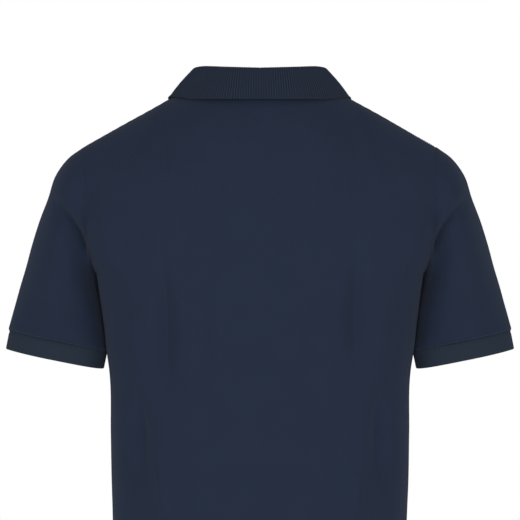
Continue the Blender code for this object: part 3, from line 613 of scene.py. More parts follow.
pique = pique_look("navy_pique", NAVY, cell_across=0.0008, cell_along=0.0010, relief=0.0004)
outer_faces = {}
for side, name, cut in ((1, "back", (0.50, 0.74)), (-1, "front", (0.50, 0.72))):
    shares = panel_columns(side)
    outer, facing = panel(side, shares, HEIGHTS, RISES)
    outer_faces[side] = outer
    skip = None
    if side < 0:
        slit = slit_shares(side)[0]
        middle = (shares[1:] + shares[:-1]) / 2
        skip = np.zeros((len(outer) - 1, len(shares) - 1), bool)
        skip[len(HEIGHTS):] = np.abs(middle) < slit
    if side > 0:
        outer, facing = outer[:, ::-1], facing[:, ::-1]
    cloth = cloth_shell(name + "_cloth", outer, facing, CLOTH, pique, skip=skip)
    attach(cloth, "root")
    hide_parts(name)


# ---- sleeves --------------------------------------------------------------------------------
# Two short set-in sleeves of the same pique, each one piece with its seam underneath. They are
# eased into the armholes, hang down and a little forward, and are gathered slightly into the
# cuffs, which leaves small puckers there.
# Lines from the armhole to the cuff, along the sleeve's top, back, underside and front.
SLEEVE_TOP = [(0.2385, 0.003, -0.088), (0.2545, 0.001, -0.109), (0.2638, -0.002, -0.134),
              (0.2770, -0.008, -0.168), (0.2950, -0.018, -0.228), (0.3110, -0.028, -0.2785)]
SLEEVE_BACK = [(0.228, 0.056, -0.165), (0.238, 0.050, -0.190), (0.247, 0.036, -0.240)]
SLEEVE_UNDER = [(0.2032, -0.007, -0.2365), (0.2018, -0.017, -0.245), (0.1995, -0.026, -0.256),
                (0.1965, -0.033, -0.273), (0.1938, -0.035, -0.299)]
SLEEVE_FRONT = [(0.222, -0.062, -0.165), (0.236, -0.070, -0.190), (0.247, -0.074, -0.240)]
SLEEVE_FULLNESS = 0.0018     # how far the sleeve's end stands out over the cuff
SLEEVE_RADIUS = 0.055        # on the average
SLEEVE_SWELL_PITCH = 0.03    # of its unevenness
# Creases, from one end to the other: turn_from, length_from, turn_to, length_to, width in
# degrees, depth.
SLEEVE_CREASES = [(48.0, 0.14, 48.0, 0.54, 22.0, -0.0012),
                  (300.0, 0.18, 300.0, 0.62, 22.0, -0.0035),
                  (255.0, 0.38, 255.0, 0.86, 26.0, -0.0030),
                  (34.0, 0.22, 72.0, 0.30, 12.0, -0.0006),
                  (330.0, 0.22, 276.0, 0.40, 9.0, -0.0018),
                  (296.0, 0.12, 258.0, 0.24, 7.0, -0.0012),
                  (244.0, 0.66, 214.0, 0.86, 8.0, -0.0010)]
# The trough beside the back of the armhole, as seen from behind, a row for each drop from the
# neck: x of its lip, its depth, its width outside the lip and how far the lip rounds inside it.
TROUGH_COLUMNS = "drop lip depth width rounding"
TROUGH = [(0.128, 0.2590, 0.0, 0.030, 0.0200), (0.1394, 0.2540, 0.0040, 0.028, 0.0180),
          (0.150, 0.2440, 0.0105, 0.033, 0.0140), (0.165, 0.2310, 0.0170, 0.038, 0.0095),
          (0.1794, 0.2220, 0.0200, 0.043, 0.0070), (0.190, 0.2178, 0.0195, 0.044, 0.0065),
          (0.205, 0.2140, 0.0145, 0.045, 0.0065), (0.225, 0.2090, 0.0055, 0.042, 0.0065),
          (0.245, 0.2040, 0.0, 0.036, 0.0065)]
TROUGH_EARLY = 0.4           # it starts while the cloth still faces a little forward
# How the sleeve's lower back and the cuff's stand out: turn, turn_reach, height.
BACK_FULLNESS = [(158.0, 70.0, 0.0180), (96.0, 80.0, 0.0105)]
FULLNESS_WAY = (0.05, 1.0, 0.0)
FULLNESS_START, FULLNESS_RUN = 0.18, 0.48    # shares of the sleeve's length over which it comes
CUFF_PUCKER, CUFF_PUCKER_REACH = 0.00050, 0.0065         # depth, and reach up the sleeve
CUFF_SEAM_REACH = 0.0022
ARMHOLE_LAP = 0.0002         # the sleeve's edge enters the body's in the seam
SEAM_PULL = 0.0080           # how far down the sleeve the seam draws it to the body

CUFF_HEIGHT = 0.0228
CUFF_CENTRE = (0.2580, -0.030, -0.3390)
CUFF_AXIS = (0.19, 0.0, -0.98)
CUFF_HALF_WIDTH = 0.0638
CUFF_HALF_DEPTH = 0.043


def line_through(points, at):
    """Points at the given shares of the length of a smooth line."""
    points = np.array(points, float)
    run = running(steps(points))
    return smooth(np.asarray(at, float), run / run[-1], points)


def cuff_ring(turn, share):
    """Points and normals round the left cuff, at a share of its height from the seam."""
    axis, back = unit(np.array(CUFF_AXIS)), np.array([0.0, 1.0, 0.0])
    outward = np.cross(axis, back)
    cos, sin = np.cos(np.radians(turn))[:, None], np.sin(np.radians(turn))[:, None]
    centre = np.array(CUFF_CENTRE) - (1.0 - share) * CUFF_HEIGHT * axis
    return (centre + CUFF_HALF_WIDTH * cos * outward + CUFF_HALF_DEPTH * sin * back,
            unit(cos / CUFF_HALF_WIDTH * outward + sin / CUFF_HALF_DEPTH * back))


def fullness(turn):
    """How far the sleeve's and cuff's back stands out, most of it beside the torso."""
    return sum(height * bump((turn - at) / reach) for at, reach, height in BACK_FULLNESS)


def gathers(turn):
    """Fine puckers of the sleeve's end and the cuff's, where one is gathered into the other."""
    run = np.radians(turn) * SLEEVE_RADIUS
    return CUFF_PUCKER * np.sin(run / 0.0011 + 3.0 * np.sin(run / 0.021))


def nearest_on(line, points):
    """The nearest point of a line of points to each of some points."""
    start, run = line[:-1], np.diff(line, axis=0)
    along = np.einsum("psi,si->ps", points[:, None] - start, run) / (run ** 2).sum(1)
    near = start + along.clip(0.0, 1.0)[..., None] * run
    return near[np.arange(len(points)), length(near - points[:, None]).argmin(1)]


def sleeve(turn, shares):
    """The left sleeve's outer points and normals, one ring a row from armhole to cuff."""
    quarters = np.array([0.0, 90.0, 180.0, 270.0])
    routes = (SLEEVE_TOP, SLEEVE_BACK, SLEEVE_UNDER, SLEEVE_FRONT)
    ends, outward = cuff_ring(quarters, 0.0)
    lines = [line_through([start] + route + [end], shares) for start, route, end
             in zip(armhole(quarters), routes, ends + SLEEVE_FULLNESS * outward)]
    form = np.stack([loop(*points, np.array(ARMHOLE_SKEW) * (1 - share) ** 2, turn)
                     for share, *points in zip(shares, *lines)])
    facing = -facing_of(form, closed=True)
    moved = SWELL * unevenness(form, SLEEVE_SWELL_PITCH)
    for turn_from, length_from, turn_to, length_to, width, depth in SLEEVE_CREASES:
        along = ((shares - length_from) / (length_to - length_from))[:, None]
        off = (turn - turn_from - (turn_to - turn_from) * along + 180.0) % 360.0 - 180.0
        moved += depth * bump(off / (2 * width)) * bump(2 * along - 1)
    trough = read_table(TROUGH_COLUMNS, TROUGH, -form[..., 2])
    off = form[..., 0] - trough["lip"]
    slope = (1.0 - off / trough["width"]).clip(0.0) ** 2
    slope = np.where(off < 0, bump(off / trough["rounding"]), slope)
    form[..., 1] -= trough["depth"] * slope * backward(facing, TROUGH_EARLY)
    form[..., 1] += draped(form, facing)
    lower = ((shares - FULLNESS_START) / FULLNESS_RUN).clip(0.0, 1.0)[:, None]
    full = fullness(turn) * lower ** 2 * (3.0 - 2.0 * lower)
    form += full[..., None] * FULLNESS_WAY
    run = np.radians(turn) * SLEEVE_RADIUS
    up, down = (length(form - form[i]) for i in (0, -1))
    moved += from_seam(up, run, ARMHOLE_DIP)
    strength = 0.6 + 0.4 * np.sin(run / 0.013)
    moved += gathers(turn) * strength * fading(down, CUFF_PUCKER_REACH)
    moved -= SLEEVE_FULLNESS * fading(down, CUFF_SEAM_REACH)
    made = form + moved[..., None] * facing
    edge = np.concatenate([outer_faces[side][len(HEIGHTS):, -1][::-side] for side in (1, -1)])
    apart = nearest_on(edge, made[0]) - made[0]
    apart *= 1.0 + ARMHOLE_LAP / length(apart)[:, None].clip(ARMHOLE_LAP)
    return made + apart * fading(up, SEAM_PULL)[..., None], facing


def mirrored(piece, name):
    """The same piece for the other side of the body, faces still pointing out."""
    mesh = piece.data.copy()
    mesh.name = name
    mesh.transform(Matrix.Scale(-1.0, 4, (1.0, 0.0, 0.0)))
    mesh.flip_normals()
    return put(name, mesh)


SLEEVE_RINGS = ordered(np.linspace(0.0, 1.0, 88), [0.003, 0.007, 0.012],
                       1.0 - np.array([0.004, 0.008, 0.013, 0.02, 0.028]))
SLEEVE_TURNS = np.linspace(0.0, 360.0, 200, endpoint=False)

sleeve_outer, sleeve_facing = (grid[::-1] for grid in sleeve(SLEEVE_TURNS, SLEEVE_RINGS))
sleeve_left = cloth_shell("sleeve_left_cloth", sleeve_outer, sleeve_facing, CLOTH, pique,
                          closed=True)
sleeve_right = mirrored(sleeve_left, "sleeve_right_cloth")
for cloth, node in ((sleeve_left, "sleeve_left"), (sleeve_right, "sleeve_right")):
    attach(cloth, "root")
    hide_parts(node)


# ---- cuffs ----------------------------------------------------------------------------------
# Two bands of rib knit, one rib up and one down, knitted to shape with a firm lower edge and
# sewn to the gathered ends of the sleeves. The ribs stand up out of the band.
RIB = 0.0016                 # thickness of the rib knit, without its ribs
KNIT_LOOP = 0.0006           # height of a loop
CUFF_RIBS = 132
CUFF_RIB_RELIEF = 0.00011
COLUMNS_PER_RIB = 6
CUFF_ROWS = (0.0, 0.03, 0.08, 0.16, 0.30, 0.45, 0.60, 0.75, 0.88, 0.95, 0.985, 1.0)
CUFF_SEAM_DIP = 0.0008
CUFF_SEAM_SHARE = 0.10       # of the cuff's height that the seam draws in
CUFF_EDGE, CUFF_EDGE_SHARE = 0.0006, 0.03    # how far its lower edge rounds off
CUFF_FLARE = 0.2             # fullness that the cuff's back gains down to its edge
CUFF_PUCKER_SHARE = 0.7      # of the puckers of the sleeve's end


class Change(Graph):
    """A Geometry Nodes tree with named sizes, that changes a piece and sets its material."""

    def __init__(self, name, **sizes):
        super().__init__(bpy.data.node_groups.new(name, "GeometryNodeTree"))
        for label, kind in {"Geometry": "Geometry", **sizes, "Material": "Material"}.items():
            self.tree.interface.new_socket(label, in_out="INPUT", socket_type="NodeSocket" + kind)
        self.tree.interface.new_socket("Geometry", in_out="OUTPUT",
                                       socket_type="NodeSocketGeometry")
        self.start = self.tree.nodes.new("NodeGroupInput")
        self.end = self.tree.nodes.new("NodeGroupOutput")

    def given(self, label):
        """The geometry, or one of the sizes, that the tree is run with."""
        return Value(self, self.start.outputs[label])

    def named(self, attribute, kind):
        return self.node("GeometryNodeInputNamedAttribute", {"data_type": kind},
                         {"Name": attribute})

    def finish(self, geometry):
        """End the tree: instances made real, then the material."""
        real = self.node("GeometryNodeRealizeInstances", {}, {"Geometry": geometry})
        dyed = self.node("GeometryNodeSetMaterial", {},
                         {"Geometry": real, "Material": self.given("Material")})
        self.join(dyed, self.end.inputs[0])

    def apply(self, piece, **values):
        """Run the tree on a piece with these sizes, and keep the plain mesh that it makes."""
        modifier = piece.modifiers.new(self.tree.name, "NODES")
        modifier.node_group = self.tree
        for item in self.tree.interface.items_tree:
            if item.in_out == "INPUT" and item.name in values:
                modifier[item.identifier] = values[item.name]
        graph = bpy.context.evaluated_depsgraph_get()
        mesh = bpy.data.meshes.new_from_object(piece.evaluated_get(graph))
        piece.modifiers.clear()
        mesh.name = piece.name
        piece.data = mesh


ribs = Change("ribs", Relief="Float")
rib_height = (ribs.wave("COSINE", ribs.named("rib", "FLOAT") * (2 * math.pi))
              * ribs.given("Relief"))
rib_offset = ribs.node("ShaderNodeVectorMath", {"operation": "SCALE"},
                       {0: ribs.named("facing", "FLOAT_VECTOR"), "Scale": rib_height})
ribs.finish(ribs.node("GeometryNodeSetPosition", {},
                      {"Geometry": ribs.given("Geometry"), "Offset": rib_offset}))


def store(mesh, name, kind, values):
    """Keep a number or a direction for each point of a mesh."""
    layer = mesh.attributes.new(name, kind, "POINT")
    field = "value" if kind == "FLOAT" else "vector"
    layer.data.foreach_set(field, np.array(values, np.float32).ravel())


def ribbed(piece, count, facing, relief, look):
    """Raise ribs on a shell, by the running count of ribs over its columns."""
    store(piece.data, "rib", "FLOAT", [np.broadcast_to(count, facing.shape[:2])] * 2)
    store(piece.data, "facing", "FLOAT_VECTOR", [facing] * 2)
    ribs.apply(piece, Relief=relief, Material=look)


def rib_knit_look(name, colour, rib_shade_strength):
    """Rib knit: knit loops down each rib, and painted shade: the colour is darker in the grooves
    between the ribs and lighter on their crests, more so in patches pulled further open."""
    look = Look(name, {**NAP, "Sheen Tint": (0.80, 0.85, 0.95, 1.0)})
    count = look.node("ShaderNodeAttribute", {"attribute_name": "rib"}, {}, 2)
    # Painted shade: the colour follows the ribs' height, darker in the grooves and lighter on the
    # crests.
    painted_rib_shade = look.wave("COSINE", count * (2 * math.pi))
    loops = look.wave("SINE", look.weave(1) * (math.pi / KNIT_LOOP))
    fuzz = look.noise(**FUZZ)
    patch = look.noise(Scale=38.0, Detail=2.0, Roughness=0.5)
    # Patches where this painted shade is deeper, as where the knit is pulled further open.
    rib_shade_patches = look.node("ShaderNodeMapRange", {"interpolation_type": "SMOOTHSTEP"},
                          {0: patch, 1: 0.38, 2: 0.66, 3: 0.25, 4: 1.6})
    shade = 0.5 + rib_shade_strength * painted_rib_shade * rib_shade_patches + (fuzz - 0.5) * 0.25
    raised = loops * 0.5 + (fuzz - 0.5) * 0.6
    normal = look.node("ShaderNodeBump", {}, {"Strength": 0.5, "Distance": 0.00025,
                                              "Height": raised})
    return look.wear(shade, *shades(colour, 0.28), Roughness=0.88 + (fuzz - 0.5) * 0.10,
                     Normal=normal)


cuff_turns = np.linspace(0.0, 360.0, CUFF_RIBS * COLUMNS_PER_RIB, endpoint=False)
rings = []
for share in CUFF_ROWS[::-1]:
    ring, outward = cuff_ring(cuff_turns, share)
    gathered = CUFF_PUCKER_SHARE * gathers(cuff_turns) - CUFF_SEAM_DIP
    moved = (gathered * fading(share, CUFF_SEAM_SHARE)
             - CUFF_EDGE * fading(1.0 - share, CUFF_EDGE_SHARE))
    full = fullness(cuff_turns)[:, None] * (1.0 + CUFF_FLARE * share) * FULLNESS_WAY
    rings.append(ring + full + moved[:, None] * outward)
cuff_outer = np.stack(rings)
cuff_facing = np.broadcast_to(outward, cuff_outer.shape)
# Its last number sets the painted shade of the ribs: darker grooves, lighter crests.
cuff_rib = rib_knit_look("cuff_rib_knit", (0.0272, 0.0385, 0.0582), 0.10)
cuff_left = cloth_shell("cuff_left_rib", cuff_outer, cuff_facing, RIB, cuff_rib, closed=True)
ribbed(cuff_left, np.arange(len(cuff_turns)) / COLUMNS_PER_RIB, cuff_facing, CUFF_RIB_RELIEF,
       cuff_rib)
cuff_right = mirrored(cuff_left, "cuff_right_rib")
for band, node in ((cuff_left, "cuff_left"), (cuff_right, "cuff_right")):
    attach(band, "root")
    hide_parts(node)


# ---- collar ---------------------------------------------------------------------------------
# One straight strip of rib knit, sewn to the neckline by its inner edge. It stands up inside,
# folds over, and its outer half falls on the panels, with its two ends as the collar's points.
COLLAR_COLUMNS = "turn crest_x crest_y crest_z edge_x edge_y edge_z"
COLLAR = [
    (0.0, 0.0000, 0.0640, 0.0205, 0.0000, 0.0720, -0.0182),
    (30.0, 0.0425, 0.0560, 0.0222, 0.0500, 0.0650, -0.0178),
    (60.0, 0.0725, 0.0330, 0.0243, 0.0935, 0.0375, -0.0160),
    (90.0, 0.0828, 0.0000, 0.0216, 0.1140, 0.0000, -0.0132),
    (105.0, 0.0802, -0.0170, 0.0160, 0.1130, -0.0260, -0.0160),
    (120.0, 0.0740, -0.0330, 0.0050, 0.1040, -0.0505, -0.0340),
    (150.0, 0.0440, -0.0560, -0.0370, 0.0790, -0.0740, -0.0780),
    (178.0, 0.0032, -0.0640, -0.0690, 0.0520, -0.0930, -0.1170),
]
COLLAR_ROLL = 0.0015         # how far the fall bulges between its fold and its edge
COLLAR_FOLD = 0.0007         # radius inside the fold
COLLAR_LIFT = 0.0009         # of the fall, clear of the panels
COLLAR_SAG = 0.0007          # how far the fall's edge waves in and out
COLLAR_SAG_ENDS = (-4.0, 4.3)                # of that wave, in radians
COLLAR_RIBS = 96             # on each half
COLLAR_RIB_RELIEF = 0.00028
COLLAR_TURNS = np.append(np.linspace(0.0, 176.0, 46), COLLAR[-1][0])     # before refining
STAND_ROWS, ROLL_ROWS, FALL_ROWS = 5, 6, 9               # also before refining
EDGE_ROWS = np.array([0.0008, 0.0016, 0.003])            # metres up from the edge


def square_to(vectors, axes):
    """Directions of vectors, brought square to unit axes."""
    vectors = unit(vectors)
    return unit(vectors - np.sum(vectors * axes, axis=1, keepdims=True) * axes)


def turned(vectors, axes, angles):
    """Vectors turned about unit axes."""
    cos, sin = np.cos(angles)[:, None], np.sin(angles)[:, None]
    along = np.sum(vectors * axes, axis=1, keepdims=True) * axes
    return along + cos * (vectors - along) + sin * np.cross(axes, vectors)


def neck_base(turn):
    """The neckline's points, at turns from 0 (back) to 180 (front)."""
    points = []
    for at in turn:
        side, quarter = (1, at / 90.0) if at <= 90.0 else (-1, (180.0 - at) / 90.0)
        low, high = slit_shares(side)
        share = np.interp(quarter, [0.0, high, 1.0], [0.0, low, NECK_SHARE])
        points.append(panel_form(side, np.array([share]), HEIGHTS[:0], np.array([1.0]))[0, 0])
    return np.array(points)


def panel_faces():
    """A search tree of the panels' outer faces."""
    points, faces = [], []
    for side, grid in outer_faces.items():
        columns = grid.shape[1]
        first = len(points)
        for r in range(len(HEIGHTS) - 1, len(grid) - 1):
            for c in range(columns - 1):
                a = first + r * columns + c
                quad = (a, a + 1, a + columns + 1, a + columns)
                faces.append(quad if side < 0 else quad[::-1])
        points += grid.reshape(-1, 3).tolist()
    return BVHTree.FromPolygons(points, faces)


def lifted(grid, faces, clearance):
    """Move a grid's points out of the panels until they clear them."""
    clear = grid.copy()
    for point in clear[1:].reshape(-1, 3):
        spot, normal = faces.find_nearest(Vector(point))[:2]
        short = clearance - (Vector(point) - spot).dot(normal)
        point += max(short, 0.0) * np.array(normal)
    return clear


def half_collar():
    """The strip's inner face on the left: up from the neckline, over the fold, down the fall."""
    base = neck_base(COLLAR_TURNS)
    row = read_table(COLLAR_COLUMNS, COLLAR, COLLAR_TURNS)
    crest, edge = (np.stack([row[f"{line}_{axis}"] for axis in "xyz"], axis=-1)
                   for line in ("crest", "edge"))
    outside = COLLAR_FOLD + RIB
    hinge = crest - [0.0, 0.0, outside]
    along = -unit(np.gradient(hinge, axis=0))
    inward = np.cross(square_to(hinge - base, along), along)
    outward = np.cross(square_to(edge - hinge, along), along)
    sweep = np.arctan2(np.sum(np.cross(inward, outward) * along, axis=1),
                       np.sum(inward * outward, axis=1)) % (2 * np.pi)
    up = np.linspace(0.0, 1.0, STAND_ROWS + 1)[:-1, None, None]
    stand = base + up * (hinge + COLLAR_FOLD * inward - base)
    roll = np.stack([hinge + COLLAR_FOLD * turned(inward, along, sweep * part)
                     for part in np.linspace(0.0, 1.0, ROLL_ROWS + 1)])
    down = np.linspace(0.0, 1.0, FALL_ROWS + 1)[:, None, None]
    fall = hinge + COLLAR_FOLD * outward + down * (edge - hinge - outside * outward)
    fall = fall + COLLAR_ROLL * np.sin(np.pi * down) * outward
    return np.concatenate([stand, roll, lifted(fall, panel_faces(), COLLAR_LIFT)[1:]])


def refined(strip):
    """A half strip with even columns, enough of them for the ribs, and closer rows in the stand
    and by the edge. Also says how far down the strip each row lies, from 0 to 1."""
    middle_row = STAND_ROWS + ROLL_ROWS + FALL_ROWS // 2
    run = running(steps(strip[middle_row]))
    columns = np.linspace(0.0, run[-1], COLLAR_RIBS * COLUMNS_PER_RIB + 1)
    strip = np.swapaxes(smooth(columns, run, np.swapaxes(strip, 0, 1)), 0, 1)
    down = running(steps(strip).mean(axis=1))
    between_rows = (down[:STAND_ROWS] + down[1:STAND_ROWS + 1]) / 2
    rows = np.unique(np.concatenate([down, between_rows, down[-1] - EDGE_ROWS]))
    return smooth(rows, down, strip), rows / rows[-1]


half_strip, down_strip = refined(half_collar())
strip = np.concatenate([half_strip[:, :0:-1] * [-1.0, 1.0, 1.0], half_strip], axis=1)
strip_facing = facing_of(strip)
sag_wave = np.sin(np.linspace(*COLLAR_SAG_ENDS, strip.shape[1])) * down_strip[:, None] ** 2
strip_outer = strip + COLLAR_SAG * sag_wave[..., None] * strip_facing + RIB * strip_facing
# Its last number sets the painted shade of the ribs: darker grooves, lighter crests, much
# stronger than on the cuffs.
collar_rib = rib_knit_look("collar_rib_knit", (0.0222, 0.0308, 0.0498), 0.42)
collar = cloth_shell("collar_rib", strip_outer, strip_facing, RIB, collar_rib)
rib_run = (np.arange(strip.shape[1]) - strip.shape[1] // 2) / COLUMNS_PER_RIB
ribbed(collar, rib_run, strip_facing, COLLAR_RIB_RELIEF, collar_rib)
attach(collar, "root")
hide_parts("collar")


# ---- placket --------------------------------------------------------------------------------
# Two bands of pique close the slit in the front: the under band fills it, and the upper band,
# a little wider, lies over it and the slit's edges, down to a stitched box below the slit.
PLACKET_HALF_WIDTH = 0.016
PLACKET_BELOW_SLIT = 0.006
SEAM_GAP = 0.0003            # between the panel and the bands
PLACKET_EDGE, PLACKET_EDGE_SHARE = 0.0007, 0.05      # how far a band's turned edges round off
PLACKET_SWELL, PLACKET_SWELL_PITCH = 0.00012, 0.004
BAND_COLUMNS, BAND_ROWS = 21, 90
BAND_EDGE_COLUMNS = np.array([0.0, 0.02, 0.06, 0.12])    # shares of the half width, from an edge


def front_strip(half_width, rows_below):
    """Points and normals of a strip of the front, up the middle to the neckline."""
    share = slit_shares(-1)[0] * half_width / SLIT_HALF_WIDTH
    columns = np.unique(np.concatenate([np.linspace(-1.0, 1.0, BAND_COLUMNS),
                                        BAND_EDGE_COLUMNS - 1.0, 1.0 - BAND_EDGE_COLUMNS]))
    shares, rises = columns * share, np.linspace(0.0, 1.0, BAND_ROWS)
    form, wide, left = (panel_form(-1, shares * scale + shift, rows_below, rises)
                        for scale, shift in ((1.0, 0.0), (1.01, 1e-5), (0.99, -1e-5)))
    high = panel_form(-1, shares, rows_below, (rises + NUDGE).clip(0.0, 1.0))
    lows = panel_form(-1, shares, rows_below - NUDGE, (rises - NUDGE).clip(0.0, 1.0))
    across = np.where(columns[None, :, None] < 0, left - wide, wide - left)
    return form, unit(np.cross(across, high - lows)), columns


below = np.linspace(ARMPIT_Z - PLACKET_BELOW_SLIT, ARMPIT_Z, 8, endpoint=False)
for name, half_width, rows_below, lift in (
        ("placket_under", SLIT_HALF_WIDTH - SEAM_GAP, HEIGHTS[:0], 0.0),
        ("placket_upper", PLACKET_HALF_WIDTH, below, SEAM_GAP + CLOTH)):
    form, facing, columns = front_strip(half_width, rows_below)
    if name == "placket_under":
        form, facing = form[1:], facing[1:]
    moved = lift - PLACKET_EDGE * fading(1.0 - np.abs(columns), PLACKET_EDGE_SHARE)
    moved = moved + PLACKET_SWELL * unevenness(form, PLACKET_SWELL_PITCH)
    outer = form + moved[..., None] * facing
    cloth = cloth_shell(name + "_cloth", outer, facing, CLOTH - PLACKET_EDGE / 2, pique)
    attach(cloth, "root")
    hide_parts(name)


# ---- stitching ------------------------------------------------------------------------------
# Lockstitches of navy thread, 2.6 mm a stitch: two rows round the hem, one beside each
# shoulder seam, one round each cuff seam, and rows along the placket's edges.
STITCH_PITCH = 0.0026
STITCH_SIZE = (0.0021, 0.00050, 0.00036)     # along the row, across it and out
CUFF_STITCH_SIZE = (0.0021, 0.00062, 0.00050)
STITCH_LIFT = 0.00008        # of a stitch's middle, above the cloth
STITCH_WANDER = 0.08         # radians that a stitch may turn from its row
HEM_STITCHES = HEM_HEIGHT + np.array([-0.006, 0.0])      # above the hem's edge
SHOULDER_STITCHES = 0.988    # share of the panel's rise
SHOULDER_ENDS = (NECK_SHARE + 0.03, 0.985)
CUFF_STITCHES = 0.985        # share of the sleeve's length
PLACKET_STITCHES = 0.86      # share of the band's half width

stitches = Change("stitches", Pitch="Float", Length="Float", Width="Float", Height="Float",
                  Wander="Float", Seed="Int")
row_line = stitches.node("GeometryNodeMeshToCurve", {}, {"Mesh": stitches.given("Geometry")})
row_places = stitches.node("GeometryNodeResampleCurve", {"mode": "LENGTH"},
                           {"Curve": row_line, "Length": stitches.given("Pitch")})
row_way = stitches.node("GeometryNodeInputTangent", {}, {})
turned_along = stitches.node("FunctionNodeAlignRotationToVector", {"axis": "X"},
                             {"Vector": row_way})
turned_out = stitches.node("FunctionNodeAlignRotationToVector",
                           {"axis": "Z", "pivot_axis": "X"},
                           {"Rotation": turned_along,
                            "Vector": stitches.named("facing", "FLOAT_VECTOR")})
bead_size = stitches.node("ShaderNodeCombineXYZ", {}, {
    i: stitches.given(label) for i, label in enumerate(("Length", "Width", "Height"))})
ball = stitches.node("GeometryNodeMeshUVSphere", {}, {"Segments": 6, "Rings": 4, "Radius": 0.5})
bead = stitches.node("GeometryNodeTransform", {}, {"Geometry": ball, "Scale": bead_size})
stitch_set = stitches.node("GeometryNodeInstanceOnPoints", {},
                           {"Points": row_places, "Instance": bead, "Rotation": turned_out})
wander = stitches.given("Wander")
sway = stitches.node("FunctionNodeRandomValue", {"data_type": "FLOAT"},
                     {2: wander * -1.0, 3: wander, "Seed": stitches.given("Seed")}, 1)
stitches.finish(stitches.node("GeometryNodeRotateInstances", {}, {
    "Instances": stitch_set,
    "Rotation": stitches.node("ShaderNodeCombineXYZ", {}, {2: sway})}))

thread = Look("navy_thread", {"Specular IOR Level": 0.35, "Sheen Weight": 0.15})
twist = thread.noise(Scale=1600.0, Detail=2.0)
thread.wear(twist, (0.018, 0.028, 0.052), (0.044, 0.062, 0.106), Roughness=0.55 + twist * 0.2)


def stitched(name, rows, seed, pitch=STITCH_PITCH, size=STITCH_SIZE):
    """A piece of stitches along rows of points, each row with its normals and whether it
    closes on itself."""
    points, facing, edges = [], [], []
    for line, out, closed in rows:
        first = len(points)
        points += (line + STITCH_LIFT * out).tolist()
        facing += out.tolist()
        edges += [(first + i, first + i + 1) for i in range(len(line) - 1)]
        edges += [(len(points) - 1, first)] if closed else []
    mesh = bpy.data.meshes.new(name)
    mesh.from_pydata(points, edges, [])
    store(mesh, "facing", "FLOAT_VECTOR", facing)
    piece = put(name, mesh)
    stitches.apply(piece, Pitch=pitch, Length=size[0], Width=size[1], Height=size[2],
                   Wander=STITCH_WANDER, Seed=seed, Material=thread.material)
    piece.data.shade_smooth()
    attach(piece, "root")


def both_sides(rows):
    """The rows, and the same on the other side of the body."""
    mirror = np.array([-1.0, 1.0, 1.0])
    return rows + [(line * mirror, out * mirror, closed) for line, out, closed in rows]


hem_rows = []
for side in (1, -1):
    line, out = panel(side, np.linspace(-0.998, 0.998, 420), HEM_Z + HEM_STITCHES, RISES[:0])
    hem_rows += [(line[i], out[i], False) for i in (0, 1)]
stitched("hem_stitches", hem_rows, 3)

line, out = panel(1, np.linspace(*SHOULDER_ENDS, 90), HEIGHTS[:0], np.array([SHOULDER_STITCHES]))
stitched("shoulder_stitches", both_sides([(line[0], out[0], False)]), 7)

line, out = sleeve(np.linspace(0.0, 360.0, 260, endpoint=False), SLEEVE_RINGS)
near_cuff = int(np.searchsorted(SLEEVE_RINGS, CUFF_STITCHES))
stitched("cuff_stitches", both_sides([(line[near_cuff], out[near_cuff], True)]), 9,
         size=CUFF_STITCH_SIZE)

band_form, band_facing, band_columns = front_strip(PLACKET_HALF_WIDTH, below)
band_face = band_form + (SEAM_GAP + CLOTH) * band_facing
placket_rows = []
for at in (-PLACKET_STITCHES, PLACKET_STITCHES):
    column = int(np.argmin(np.abs(band_columns - at)))
    placket_rows.append((band_face[1:-1, column], band_facing[1:-1, column], False))
inside = np.abs(band_columns) < PLACKET_STITCHES + 0.01
for row in (1, len(below) + 1):
    placket_rows.append((band_face[row, inside], band_facing[row, inside], False))
stitched("placket_stitches", placket_rows, 11)


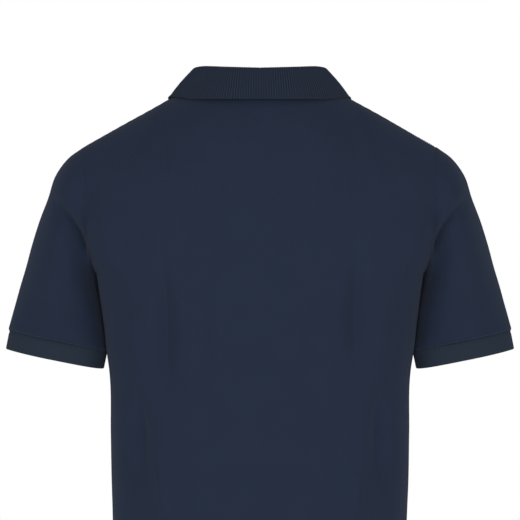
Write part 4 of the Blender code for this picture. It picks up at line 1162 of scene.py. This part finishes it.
# ---- buttons --------------------------------------------------------------------------------
# Three turned buttons of dyed resin with four holes, each sewn down with two bars of thread
# through a buttonhole in the upper band, which is edged with close satin stitches.
BUTTON_HOLE_OFFSET = 0.0013  # of the button's holes, from its middle
DISH_HEIGHT = 0.0004         # of the button's sunk face, above the middle of its thickness
BAR_PITCH, BAR_SIZE = 0.00032, (0.00034, 0.0034, 0.0006)
BAR_HALF_WIDTH = 0.0005
BUTTONHOLE_HALF_LENGTH = 0.0078
BUTTONHOLE_HALF_WIDTH = 0.00078              # to the middle of its stitches
BUTTONHOLE_END, BUTTONHOLE_END_HALF_WIDTH = 0.0002, 0.0011       # the row across each end
SATIN_PITCH, SATIN_SIZE = 0.00046, (0.00044, 0.0013, 0.0005)

resin = Look("navy_resin", {"Specular IOR Level": 0.5, "Coat Roughness": 0.15})
swirl = resin.noise(Scale=260.0, Detail=3.0, Distortion=1.6)
resin.wear(swirl, (0.012, 0.017, 0.030), (0.030, 0.042, 0.068), Roughness=0.24 + swirl * 0.16)

middle_line, middle_facing = (grid[:, len(band_columns) // 2]
                              for grid in (band_face, band_facing))


def crosswise(centre, out, half_width, points):
    """A row of points straight across the placket."""
    steps = np.linspace(-half_width, half_width, points)[:, None]
    return centre + steps * [1.0, 0.0, 0.0], np.tile(out, (points, 1)), False


def on_band(x, z):
    """Points of the upper band's face."""
    y = np.interp(z, middle_line[:, 2], middle_line[:, 1])
    return np.stack([np.full_like(y, x), y, z + np.zeros_like(y)], axis=-1)


bar_rows, edge_rows = [], []
for number in (1, 2, 3):
    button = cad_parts[f"button_{number}"]
    button.data.materials.clear()
    button.data.materials.append(resin.material)
    centre = sum(np.array(corner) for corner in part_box(f"button_{number}")) / 2
    out = middle_facing[np.argmin(np.abs(middle_line[:, 2] - centre[2]))]
    for side in (-1, 1):
        bar = centre + DISH_HEIGHT * out + [side * BUTTON_HOLE_OFFSET, 0.0, 0.0]
        bar_rows.append(crosswise(bar, out, BAR_HALF_WIDTH, 4))
        z = centre[2] + np.linspace(-BUTTONHOLE_HALF_LENGTH, BUTTONHOLE_HALF_LENGTH, 33)
        line = on_band(side * BUTTONHOLE_HALF_WIDTH, z)
        edge_rows.append((line, np.tile(out, (33, 1)), False))
    for end in (-1, 1):
        z = centre[2] + end * (BUTTONHOLE_HALF_LENGTH + BUTTONHOLE_END)
        edge_rows.append(crosswise(on_band(0.0, z), out, BUTTONHOLE_END_HALF_WIDTH, 5))
stitched("button_threads", bar_rows, 13, BAR_PITCH, BAR_SIZE)
stitched("buttonhole_stitches", edge_rows, 15, SATIN_PITCH, SATIN_SIZE)
